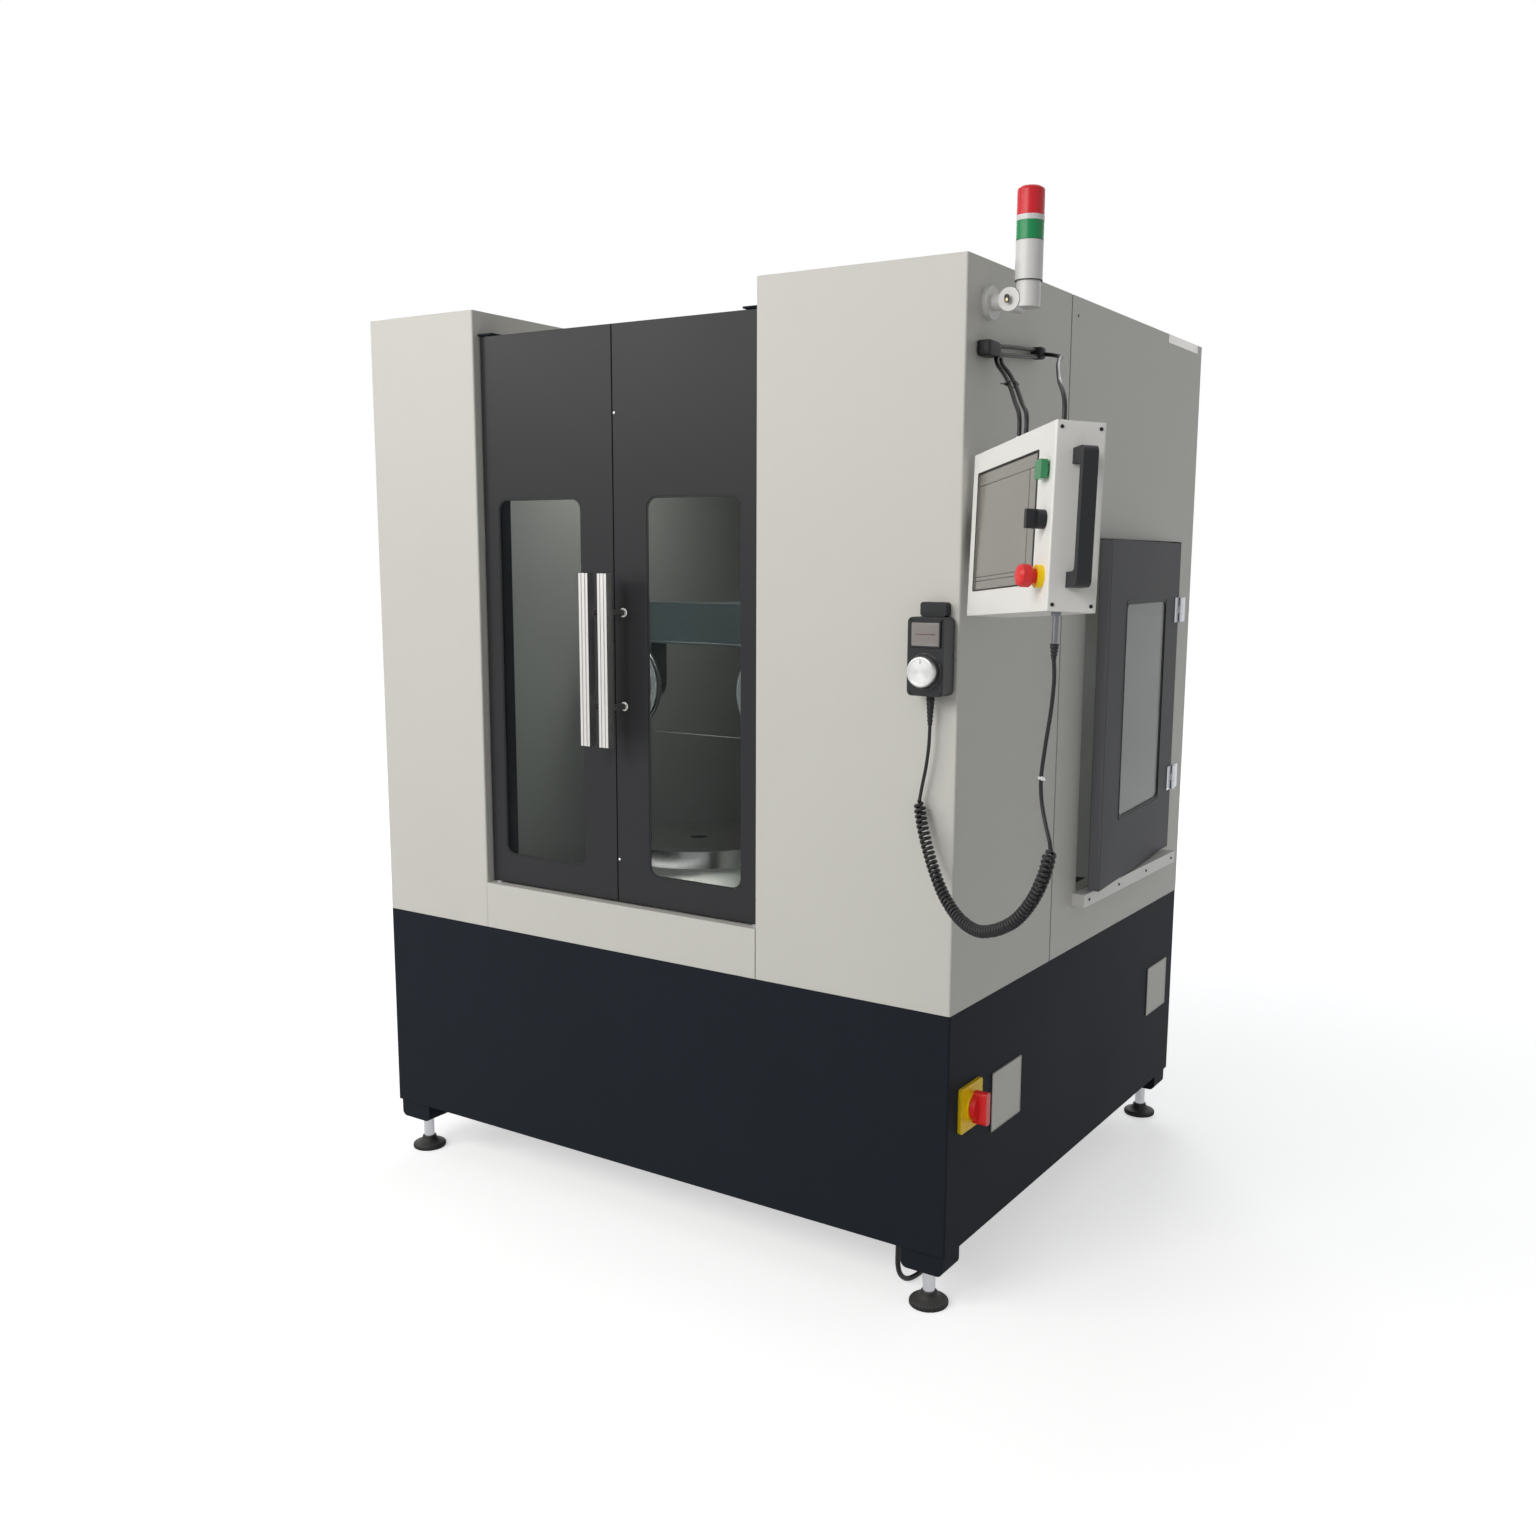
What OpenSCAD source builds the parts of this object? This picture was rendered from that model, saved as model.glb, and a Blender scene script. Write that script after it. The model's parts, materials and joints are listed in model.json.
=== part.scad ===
// Wire saw machine: an enclosed diamond wire loop saw with a rotary table.
// Millimetres. The origin is on the floor at the middle of the cabinet,
// +X to the right of someone facing the front doors, +Y to the rear, +Z up.

/* [Cabinet] */
// Width over the two columns
cabinet_w = 1570; // [1400:10:1900]
// Depth from the front face to the rear face
cabinet_d = 1330; // [1200:10:1600]
// Height of the column tops above the floor
cabinet_h = 2050; // [1950:10:2500]
// Height of the plinth's deck above the floor
plinth_top = 632; // [560:2:640]
// Height of the skirt's lower edge above the floor
skirt_bottom = 131; // [110:1:170]
// Width of the left column, which holds the electrical cabinet
left_column_w = 335; // [270:5:420]
// Width of the right column beside the doors
right_column_w = 460; // [400:5:560]
// Depth of the right column, back to the wall seam
right_column_d = 480; // [400:5:560]
// Drop from the column tops to the roof between them
roof_drop = 60; // [40:5:90]
// Thickness of the folded sheet panels
sheet_t = 2; // [1.5:0.5:3]
// Outside radius of a fold
bend_r = 4; // [3:0.5:8]

/* [Plinth] */
// Thickness of the skirt plate
skirt_t = 4; // [3:1:6]
// Thickness of the deck plate
deck_t = 8; // [6:1:12]
// Width of the skirt's lower inward flange
flange_w = 40; // [30:5:60]
// Thickness of the flange and the corner plates
flange_t = 5; // [4:1:8]
// Corner plate size along the front
corner_plate_w = 185; // [160:5:220]
// Corner plate size along the side
corner_plate_d = 125; // [110:5:160]
// Width of a foot lug
lug_w = 96; // [80:2:120]
// Depth of a foot lug
lug_d = 74; // [64:2:90]
// Gap between a lug and the skirt's outer faces
lug_inset = 6; // [4:1:20]
// Height of a lug's underside above the floor
lug_bottom = 86; // [70:1:100]
// Radius of a lug's lower corners
lug_r = 14; // [8:1:16]

/* [Feet] */
// Foot centre in from the side face
foot_inset_x = 56; // [50:1:70]
// Foot centre in from the front or rear face
foot_inset_y = 46; // [42:1:60]
// Diameter of a foot pad
pad_d = 82; // [60:1:100]
// Height of a foot pad
pad_h = 30; // [22:1:40]
// Diameter of a foot stud
stud_d = 26; // [20:1:30]
// Height of the lock nut
foot_nut_h = 18; // [12:1:24]

/* [Front doors] */
// How far the leaves sit behind the column faces
door_setback = 20; // [10:1:40]
// Thickness of a leaf
leaf_t = 25; // [20:1:35]
// Thickness of a leaf's sheet
leaf_skin = 2; // [1.5:0.5:3]
// Gap between the two leaves
leaf_mid_gap = 3; // [2:0.5:6]
// Pivot centre in from the column's side
pivot_side = 16; // [15:1:24]
// Leaf edge beyond the pivot centre
pivot_edge = 12; // [10:1:14]
// Pivot centre behind the leaf's front face
pivot_in = 10; // [8:1:12]
// Diameter of a pivot pin
pivot_d = 10; // [8:1:12]
// Length of a pivot pin inside the leaf
pivot_l = 32; // [20:1:40]
// Top of the front sill above the floor
sill_top = 740; // [700:5:780]
// Gap from the sill to the leaves
leaf_lift = 4; // [3:0.5:8]
// Leaf tops above the roof between the columns
leaf_over_roof = 3; // [2:1:8]
// Width of a front window
window_w = 248; // [200:2:270]
// Window edge from the column's side
window_side = 48; // [44:1:80]
// Bottom of the front windows above the floor
window_bottom = 812; // [790:2:900]
// Height of the front windows
window_h = 822; // [600:2:860]
// Corner radius of the front windows
window_r = 26; // [10:1:60]
// Glass overlap behind a leaf
glass_lap = 12; // [8:1:13]
// Thickness of the safety glass
glass_t = 5; // [4:1:8]
// Width of the door frame's uprights
frame_post = 28; // [20:1:40]
// Height of the door frame's bottom rail
frame_rail = 46; // [30:1:60]
// Depth of the door frame
frame_t = 30; // [20:1:40]

/* [Front door handles] */
// Distance between the two bars' centres
handle_pitch = 52; // [44:1:80]
// Bottom of the bars above the floor
handle_bottom = 1100; // [900:5:1200]
// Length of a bar
handle_l = 372; // [300:2:500]
// Width of a bar
handle_w = 25; // [18:1:32]
// Depth of a bar
handle_depth = 20; // [14:1:26]
// Bar front from the leaf face
handle_out = 72; // [60:1:90]
// Diameter of a handle post
handle_post_d = 14; // [10:1:18]
// Distance between a bar's posts
handle_post_pitch = 204; // [150:2:320]

/* [Side door] */
// Front edge of the side opening behind the cabinet's front
side_open_start = 617; // [600:1:700]
// Length of the side opening
side_open_l = 628; // [500:2:640]
// Bottom of the side opening above the floor
side_open_bottom = 766; // [740:2:840]
// Height of the side opening
side_open_h = 792; // [600:2:860]
// Gap round the side door
side_gap = 3; // [2:0.5:5]
// Thickness of the side door
side_leaf_t = 27; // [20:1:35]
// Angle at which the side door stands ajar
side_ajar = 5; // [0:0.5:20]
// Side window edge from the hinge axis
side_window_start = 130; // [90:5:160]
// Length of the side window
side_window_l = 360; // [250:5:420]
// Bottom of the side window above the floor
side_window_bottom = 920; // [860:5:960]
// Height of the side window
side_window_h = 490; // [380:5:560]
// Hinge barrel diameter
hinge_d = 12; // [10:1:16]
// Hinge pin diameter
hinge_pin_d = 6; // [5:1:8]
// Hinge height
hinge_h = 62; // [50:1:80]
// Hinge plate width
hinge_plate_w = 38; // [30:1:50]
// Hinge plate thickness
hinge_plate_t = 2.5; // [2:0.5:4]
// Projection of the ledge under the side door
ledge_out = 30; // [20:1:45]
// Height of the ledge
ledge_h = 30; // [20:1:40]

/* [Screen box] */
// Length of the screen box
screen_w = 445; // [400:5:520]
// Height of the screen box
screen_h = 290; // [260:5:340]
// Thickness of the screen box
screen_t = 81; // [70:1:110]
// Turn of the box about the vertical
screen_yaw = -47.7; // [-52:0.1:-40]
// Lean of the box about its length
screen_tilt = -2.5; // [-5:0.1:5]
// Roll of the box about its face
screen_roll = -3.2; // [-5:0.1:5]
// Lower front corner of the box out from the right wall
screen_out = 15; // [12:1:60]
// The same corner ahead of the front face
screen_ahead = 2; // [-40:1:20]
// The same corner above the floor
screen_z = 1405; // [1300:5:1500]
// Visible width of the screen
display_w = 336; // [280:2:340]
// Visible height of the screen
display_h = 210; // [180:2:230]
// Screen edge from the box's near end
display_x = 33; // [20:1:40]
// Screen edge from the box's bottom
display_z = 44; // [30:1:60]
// Controls from the box's near end
control_x = 412; // [395:1:420]
// Pivot of the box behind the box's back
pivot_behind = 78.4; // [74:0.2:100]
// Pivot of the box from the box's near end
pivot_along = 18; // [0:1:40]
// Width of the screen arm
boom_w = 22; // [16:2:24]
// Height of the screen arm
boom_h = 90; // [70:2:110]
// Pivot pin of the screen arm
arm_pin_d = 14; // [10:1:18]
// Height of the moving knuckle on the pivot
knuckle_h = 60; // [40:1:60]

/* [Signal tower] */
// Tower centre behind the front face
tower_back = 84; // [60:1:200]
// Tower knuckle above the floor
tower_z = 1973; // [1850:1:2200]
// Tower knuckle out from the right wall
knuckle_out = 52; // [45:1:70]
// Tower tube out from the right wall
tube_out = 80; // [70:1:100]
// Tower tube diameter
tube_d = 50; // [40:1:60]
// Diameter of the knuckle discs
knuckle_d = 42; // [36:1:48]

/* [Pendant] */
// Pendant centre in from the right face
pendant_in = 45; // [42:1:90]
// Pendant bottom above the floor
pendant_z = 1256; // [1150:1:1300]
// Pendant width
pendant_w = 76; // [60:1:80]
// Pendant height
pendant_h = 146; // [120:1:170]
// Pendant depth
pendant_d = 42; // [34:1:50]
// Handwheel diameter
wheel_d = 58; // [50:1:62]
// Handwheel height above the pendant's bottom
wheel_z = 46; // [38:1:56]

/* [Electrics] */
// Isolator plate size
isolator_s = 94; // [80:1:110]
// Isolator centre behind the front face
isolator_back = 92; // [75:1:140]
// Isolator centre above the floor
isolator_z = 424; // [350:1:500]
// Cover plate length
cover_l = 142; // [120:1:180]
// Cover plate height
cover_h = 127; // [100:1:150]
// Front cover plate centre behind the front face
cover_front = 270; // [240:1:300]
// Rear cover plate centre ahead of the rear face
cover_rear = 125; // [100:1:200]
// Cover plates' centre above the floor
cover_z = 393; // [330:1:480]

/* [Saw] */
// Diameter of the rotary table
table_d = 380; // [300:5:400]
// Thickness of the rotary table
table_t = 40; // [25:1:50]
// Top of the rotary table above the floor
table_top = 844; // [820:2:860]
// Table centre behind the front face
table_back = 320; // [300:5:360]
// Bore of the table
table_bore = 40; // [20:1:60]
// Pitch circle of the table's clamping holes
table_pcd = 240; // [160:5:280]
// Diameter of a clamping hole
table_hole = 12; // [8:1:16]
// Diameter of a wire wheel at its groove
wire_wheel_d = 216; // [180:2:230]
// Distance of a wire wheel from the middle
wire_reach = 230; // [200:5:240]
// Height of the wheel centres above the floor
wheel_centre_z = 1200; // [1180:5:1300]
// Width of a wire wheel
wheel_w = 24; // [18:1:30]
// Diameter of a wheel spindle
spindle_d = 24; // [18:1:30]
// Diameter of the diamond wire
wire_d = 1.2; // [0.8:0.1:2]
// Height of the saw head's beam
beam_h = 100; // [80:5:120]
// Depth of the saw head's beam
beam_d = 60; // [50:5:80]
// Width of the upright
upright_w = 340; // [280:10:360]
// Depth of the upright
upright_d = 260; // [200:10:280]
// Height of the upright above the bed
upright_h = 1150; // [1000:10:1180]
// Height of the bed casting
bed_h = 68; // [60:2:90]
// Width of a guide rail
rail_w = 20; // [15:1:30]
// Height of a guide rail
rail_h = 20; // [15:1:25]
// Half the distance between a pair of guide rails
rail_half = 110; // [90:5:125]

/* [Cords] */
// Diameter of the supply cord
supply_d = 11; // [9:1:14]
// Diameter of the pendant's cord
lead_d = 7; // [5:0.5:9]
// Outer diameter of the pendant's curly cord
curl_d = 24; // [20:1:30]
// Diameter of a cable to the screen box
cable_d = 8; // [6:0.5:10]

/* [Fits] */
// Radial clearance of a shaft in its hole
running = 0.05; // [0.02:0.01:0.1]
// Gap where one piece seats on another
seat = 0.3; // [0.2:0.1:0.5]

/* [Hidden] */
$fn = 72;

light_paint = [0.80, 0.79, 0.76];
dark_paint = [0.27, 0.27, 0.29];
anthracite = [0.15, 0.16, 0.18];
steel = [0.72, 0.72, 0.72];
casting = [0.36, 0.42, 0.40];
black = [0.08, 0.08, 0.09];
off_white = [0.92, 0.91, 0.89];
smoked = [0.25, 0.30, 0.32, 0.4];

// Cabinet planes
left_x = -cabinet_w / 2;
right_x = cabinet_w / 2;
front_y = -cabinet_d / 2;
rear_y = cabinet_d / 2;
bay_left = left_x + left_column_w;
bay_right = right_x - right_column_w;
bay_mid = (bay_left + bay_right) / 2;
roof_z = cabinet_h - roof_drop;
seam_y = front_y + right_column_d;
seam_gap = 2;

// Front doors
leaf_front = front_y + door_setback;
leaf_bottom = sill_top + leaf_lift;
leaf_top = roof_z + leaf_over_roof;
leaf_h = leaf_top - leaf_bottom;
leaf_w = (bay_right - bay_left) / 2 - (pivot_side - pivot_edge) - leaf_mid_gap / 2;
pivot_y = leaf_front + pivot_in;
pivot_block = 24;
// The frame stands clear of the circle that the leaf's rear corner sweeps
frame_y = pivot_y + norm([pivot_edge, leaf_t - pivot_in]) + 0.8;
frame_rear = frame_y + frame_t;
lug_plate_t = 4;
header_top = leaf_top + 2 + lug_plate_t;
header_h = 54;
sill_t = 3;

// Side door
hinge_off = hinge_d / 2 + 0.2;
hinge_x = right_x + hinge_off;
side_start_y = front_y + side_open_start;
hinge_y = side_start_y + side_open_l;
side_open_top = side_open_bottom + side_open_h;
jamb_d = 30;
hinge_heights = [952, 1387];

// Screen box
screen_corner = [right_x + screen_out, front_y - screen_ahead, screen_z];
arm_x = screen_corner.x + pivot_along * cos(screen_yaw) - (screen_t + pivot_behind) * sin(screen_yaw);
arm_y = screen_corner.y + pivot_along * sin(screen_yaw) + (screen_t + pivot_behind) * cos(screen_yaw);
arm_z = screen_z + 115;
knuckle_r = 14;
control_z = [218, 142, 54];
control_hole = 22;
shell_t = 2;
gland_low = [413, 28];
gland_low_l = 50;
gland_top = [[152, 34], [166, 42], [352, 44]];
gland_top_h = 16;
gland_top_d = 14;

// Saw
table_x = bay_mid;
table_y = front_y + table_back;
rail_top = plinth_top + bed_h + rail_h;
housing_h = 59;
housing_z = table_top - table_t - seat - housing_h;
upright_front = table_y + 645;
wheel_y = table_y;
beam_front = wheel_y + wheel_w / 2 + 43;
beam_z = wheel_centre_z + 100;
arm_w = 90;

// Boots on the right wall that the screen cables leave from: centre and size
boot_front = [right_x + 14, -597, 1889];
boot_front_s = [28, 56, 30];
boot_rear = [right_x + 13, -378, 1908];
boot_rear_s = [26, 22, 24];

// Supply cord: where its gland stands, and the coil put away under the machine
supply_gland = [right_x - 140, front_y + 65];
supply_gland_end = 108;
coil_centre = [400, -215];
coil_r = 65;
coil_rows = 3;

// Routes of the cords, point by point
power_route = [
    [645, -600, 108], [645, -600, 82], [645, -600, 58], [646, -596, 37],
    [648, -585, 20.5], [651, -569, 9.5], [655, -550, 6], [658, -525, 6],
    [657, -500, 6], [651, -470, 6], [641, -440, 6], [626, -408, 6], [605, -376, 6],
    [577, -345, 6], [545, -315, 6], [511, -280, 6], [486, -247, 6], [470.5, -215, 6]
];
plug_route = [
    [454, -260, 27.5], [470, -242, 26], [487, -220, 23], [504, -192, 20], [515, -165, 23],
    [520, -140, 30], [520, -128, 31], [520, -116, 31]
];
plug_axis = 90;
lead_upper = [
    [740, -688, 1200], [738, -687, 1160], [732, -685, 1120], [724, -683, 1085],
    [719, -683, 1056]
];
curl_route = [
    [719, -683, 1056], [720, -684, 1040], [733, -692, 998], [762, -710, 942], [802, -737, 892],
    [853, -773, 862], [911, -816, 856], [966, -856, 874], [1020, -896, 907],
    [1062, -926, 952], [1090, -946, 1000], [1103, -955, 1040], [1104, -956, 1052]
];
lead_lower = [
    [1104, -956, 1052], [1102, -955, 1062], [1092, -948, 1084], [1079, -938, 1120],
    [1075, -935, 1160], [1084, -942, 1217], [1094, -949, 1270], [1099, -952, 1320]
];
cable_routes = [
    [[804, -580, 1874], [804, -580, 1870], [808, -585, 1861], [829, -610, 1850], [850, -637, 1835],
     [873, -666, 1815], [893, -690, 1789], [910, -712, 1768]],
    [[810, -571, 1874], [810, -571, 1870], [814, -577, 1861], [835, -602, 1851], [857, -629, 1836],
     [880, -657, 1816], [901, -681, 1790], [919, -704, 1769]],
    [[811, -372, 1906], [815, -372, 1906], [827, -374, 1904], [848, -395, 1897], [878, -450, 1888],
     [915, -545, 1870], [962, -660, 1842], [1010, -765, 1805], [1040, -830, 1790]]
];
cable_rise = [40, 40, 32];
link_routes = [
    [[794, -568, 1896], [798, -545, 1900], [800, -480, 1906], [798, -420, 1910], [795, -390, 1912]],
    [[800, -568, 1884], [802, -545, 1885], [803, -480, 1890], [802, -420, 1897], [800, -390, 1901]]
];

function unit(v) = v / norm(v);
function along(p, i) = unit(p[min(i + 1, len(p) - 1)] - p[max(i - 1, 0)]);
function screen_turn(p) = let (
    a = [p.x * cos(screen_roll) + p.z * sin(screen_roll), p.y,
         -p.x * sin(screen_roll) + p.z * cos(screen_roll)],
    b = [a.x, a.y * cos(screen_tilt) - a.z * sin(screen_tilt),
         a.y * sin(screen_tilt) + a.z * cos(screen_tilt)])
    screen_corner + [b.x * cos(screen_yaw) - b.y * sin(screen_yaw),
                     b.x * sin(screen_yaw) + b.y * cos(screen_yaw), b.z];

// ---------- shared shapes ----------

module block(low, high) {
    translate(low) cube(high - low);
}

// Rectangle with round corners, from corner to corner
module round_rect(x0, x1, y0, y1, r) {
    translate([x0 + r, y0]) square([x1 - x0 - 2 * r, y1 - y0]);
    translate([x0, y0 + r]) square([x1 - x0, y1 - y0 - 2 * r]);
    for (x = [x0 + r, x1 - r], y = [y0 + r, y1 - r]) translate([x, y]) circle(r);
}

// Round bar along +Y that starts at y0
module rod_y(d, y0, y1) {
    translate([0, y0, 0]) rotate([-90, 0, 0]) cylinder(d = d, h = y1 - y0);
}

// Round bar along +X
module rod_x(d, x0, x1) {
    translate([x0, 0, 0]) rotate([0, 90, 0]) cylinder(d = d, h = x1 - x0);
}

// Plate in the XZ plane with round corners, from y0 to y1
module plate_y(x0, x1, z0, z1, r, y0, y1) {
    translate([0, y1, 0]) rotate([90, 0, 0]) linear_extrude(y1 - y0) round_rect(x0, x1, z0, z1, r);
}

// Plate in the YZ plane with round corners, from x0 to x1
module plate_x(y0, y1, z0, z1, r, x0, x1) {
    translate([x0, 0, 0]) rotate([90, 0, 90]) linear_extrude(x1 - x0) round_rect(y0, y1, z0, z1, r);
}

// Tube swept along points; ref is a direction the route never follows
module cord_tube(points, d, sides, ref) {
    rings = [
        for (i = [0:len(points) - 1])
            let (t = along(points, i), u = unit(cross(t, ref)), v = cross(t, u))
                for (k = [0:sides - 1])
                    points[i] + (u * cos(360 * k / sides) + v * sin(360 * k / sides)) * d / 2
    ];
    last = (len(points) - 1) * sides;
    walls = [
        for (i = [0:len(points) - 2], k = [0:sides - 1])
            let (a = i * sides + k, b = i * sides + (k + 1) % sides)
                each [[a, a + sides, b], [b, a + sides, b + sides]]
    ];
    ends = [[for (k = [0:sides - 1]) k], [for (k = [sides - 1:-1:0]) last + k]];
    polyhedron(rings, concat(walls, ends), convexity = 6);
}

module in_screen() {
    translate(screen_corner) rotate([0, 0, screen_yaw]) rotate([screen_tilt, 0, 0])
        rotate([0, screen_roll, 0]) children();
}

module side_swing() {
    translate([hinge_x, hinge_y, 0]) rotate([0, 0, side_ajar]) children();
}

// Sheet column with round folds, open below, and behind if asked
module column_shell(x0, x1, y0, y1, open_rear) {
    difference() {
        translate([0, 0, plinth_top]) linear_extrude(cabinet_h - plinth_top)
            round_rect(x0, x1, y0, y1, bend_r);
        block([x0 + sheet_t, y0 + sheet_t, plinth_top - 1],
              [x1 - sheet_t, open_rear ? y1 + 1 : y1 - sheet_t, cabinet_h - sheet_t]);
    }
}

// ---------- plinth and feet ----------

// Places a child at each foot, mirrored so that the child's +X and +Y run inwards
module at_feet() {
    for (i = [0, 1], j = [0, 1])
        translate([i ? right_x : left_x, j ? rear_y : front_y, 0])
            mirror([i, 0, 0]) mirror([0, j, 0]) children();
}

module plinth() color(anthracite) difference() {
    union() {
        difference() {
            translate([0, 0, skirt_bottom]) linear_extrude(plinth_top - skirt_bottom)
                round_rect(left_x, right_x, front_y, rear_y, bend_r);
            block([left_x + skirt_t, front_y + skirt_t, skirt_bottom + flange_t],
                  [right_x - skirt_t, rear_y - skirt_t, plinth_top - deck_t]);
            block([left_x + flange_w, front_y + flange_w, skirt_bottom - 1],
                  [right_x - flange_w, rear_y - flange_w, skirt_bottom + flange_t + 1]);
        }
        at_feet() {
            block([skirt_t, skirt_t, skirt_bottom],
                  [corner_plate_w, corner_plate_d, skirt_bottom + flange_t]);
            plate_y(lug_inset, lug_inset + lug_w, lug_bottom, skirt_bottom + flange_t, lug_r,
                    lug_inset, lug_inset + lug_d);
            block([lug_inset, lug_inset, lug_bottom + lug_r + 4],
                  [lug_inset + lug_w, lug_inset + lug_d, skirt_bottom + flange_t]);
        }
    }
    at_feet() translate([foot_inset_x, foot_inset_y, lug_bottom - 1])
        cylinder(d = stud_d + 2 * running, h = skirt_bottom - lug_bottom + 30);
    translate([supply_gland.x, supply_gland.y, skirt_bottom - 1])
        cylinder(d = 20 + 2 * running, h = flange_t + 2);
}

module foot_pads() color(black) at_feet() translate([foot_inset_x, foot_inset_y, 0])
    rotate_extrude() polygon([
        [0, 0], [pad_d / 2 - 3, 0], [pad_d / 2, 3], [pad_d / 2, 11], [pad_d / 2 - 4, 15],
        [pad_d / 2 - 12, 19], [stud_d / 2 + 7, pad_h - 5], [stud_d / 2 + 5, pad_h],
        [stud_d / 2 + running, pad_h], [stud_d / 2 + running, pad_h / 2], [0, pad_h / 2]
    ]);

module foot_studs() color(steel) at_feet() translate([foot_inset_x, foot_inset_y, 0]) {
    translate([0, 0, pad_h / 2]) cylinder(d = stud_d, h = skirt_bottom + 60 - pad_h / 2);
    translate([0, 0, skirt_bottom + flange_t]) difference() {
        cylinder(d = stud_d + 18, h = foot_nut_h, $fn = 6);
        translate([0, 0, -1]) cylinder(d = stud_d + 2 * running, h = foot_nut_h + 2);
    }
}

// ---------- sheet panels ----------

module left_column() color(light_paint)
    column_shell(left_x, bay_left, front_y, rear_y - sheet_t, true);

module right_column() color(light_paint)
    column_shell(bay_right, right_x, front_y, seam_y, false);

module side_panel() color(light_paint) difference() {
    union() {
        block([right_x - sheet_t, seam_y + seam_gap, plinth_top],
              [right_x, rear_y - sheet_t, cabinet_h]);
        block([bay_right, seam_y + seam_gap, cabinet_h - sheet_t],
              [right_x, rear_y - sheet_t, cabinet_h]);
        block([bay_right, seam_y + seam_gap, roof_z - sheet_t],
              [bay_right + sheet_t, rear_y - sheet_t, cabinet_h]);
        block([right_x - jamb_d, side_start_y - sheet_t, side_open_bottom - sheet_t],
              [right_x, hinge_y + sheet_t, side_open_top + sheet_t]);
    }
    block([right_x - jamb_d - 1, side_start_y, side_open_bottom],
          [right_x + 1, hinge_y, side_open_top]);
}

module rear_panel() color(light_paint) difference() {
    block([left_x, rear_y - sheet_t, plinth_top], [right_x, rear_y, cabinet_h]);
    block([bay_left, rear_y - sheet_t - 1, roof_z], [bay_right, rear_y + 1, cabinet_h + 1]);
}

module roof_panel() color(light_paint)
    block([bay_left, frame_rear, roof_z - sheet_t], [bay_right, rear_y - sheet_t, roof_z]);

module front_sill() color(light_paint) difference() {
    block([bay_left, front_y, plinth_top], [bay_right, frame_rear, sill_top]);
    block([bay_left - 1, front_y + sheet_t, plinth_top - 1],
          [bay_right + 1, frame_rear - sheet_t, sill_top - sill_t]);
}

module door_frame() color(anthracite) {
    difference() {
        block([bay_left, frame_y, sill_top], [bay_right, frame_rear, header_top]);
        block([bay_left + frame_post, frame_y - 1, sill_top + frame_rail],
              [bay_right - frame_post, frame_rear + 1, header_top - header_h]);
    }
    for (x = [bay_left, bay_right - 44])
        block([x, pivot_y - 14, header_top - lug_plate_t], [x + 44, frame_y + 1, header_top]);
}

module door_pivots() color(steel) for (x = [bay_left + pivot_side, bay_right - pivot_side]) {
    translate([x, pivot_y, sill_top]) {
        cylinder(d = pivot_block - 2, h = leaf_lift - seat);
        cylinder(d = pivot_d, h = leaf_lift + pivot_l);
    }
    translate([x, pivot_y, leaf_top - pivot_l])
        cylinder(d = pivot_d, h = pivot_l + header_top - lug_plate_t - leaf_top);
}

module cover_plates() color(light_paint) for (y = [front_y + cover_front, rear_y - cover_rear])
    plate_x(y - cover_l / 2, y + cover_l / 2, cover_z - cover_h / 2, cover_z + cover_h / 2, 4,
            right_x, right_x + 2);

module side_ledge() color(off_white) {
    y0 = side_start_y - 20;
    y1 = hinge_y - 26;
    difference() {
        block([right_x, y0, side_open_bottom - 4 - ledge_h],
              [right_x + ledge_out, y1, side_open_bottom - 4]);
        block([right_x - 1, y0 + sheet_t, side_open_bottom - 5 - ledge_h],
              [right_x + ledge_out - sheet_t, y1 - sheet_t, side_open_bottom - 4 - sheet_t]);
    }
}

// ---------- front doors ----------

// Window edge from the pivot centre
window_x = window_side - pivot_side;

// One leaf: a folded pan open to the rear, pivot centre at the origin, reaching to +X
module leaf() {
    window_z = window_bottom - leaf_bottom;
    block_front = leaf_skin - pivot_in;
    difference() {
        union() {
            difference() {
                block([-pivot_edge, -pivot_in, 0], [leaf_w - pivot_edge, leaf_t - pivot_in, leaf_h]);
                block([leaf_skin - pivot_edge, leaf_skin - pivot_in, leaf_skin],
                      [leaf_w - pivot_edge - leaf_skin, leaf_t, leaf_h - leaf_skin]);
            }
            for (z = [0, leaf_h - pivot_l - 10])
                block([-pivot_edge, block_front - 1, z],
                      [pivot_block - pivot_edge, leaf_t - pivot_in, z + pivot_l + 10]);
        }
        plate_y(window_x, window_x + window_w, window_z, window_z + window_h, window_r,
                -pivot_in - 1, leaf_skin - pivot_in + 1);
        translate([0, 0, -1]) cylinder(d = pivot_d + 2 * running, h = pivot_l + 2);
        translate([0, 0, leaf_h - pivot_l - 1]) cylinder(d = pivot_d + 2 * running, h = pivot_l + 2);
    }
}

module leaf_glass() {
    window_z = window_bottom - leaf_bottom;
    plate_y(window_x - glass_lap, window_x + window_w + glass_lap,
            window_z - glass_lap, window_z + window_h + glass_lap, window_r,
            leaf_skin - pivot_in, leaf_skin - pivot_in + glass_t);
}

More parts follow.
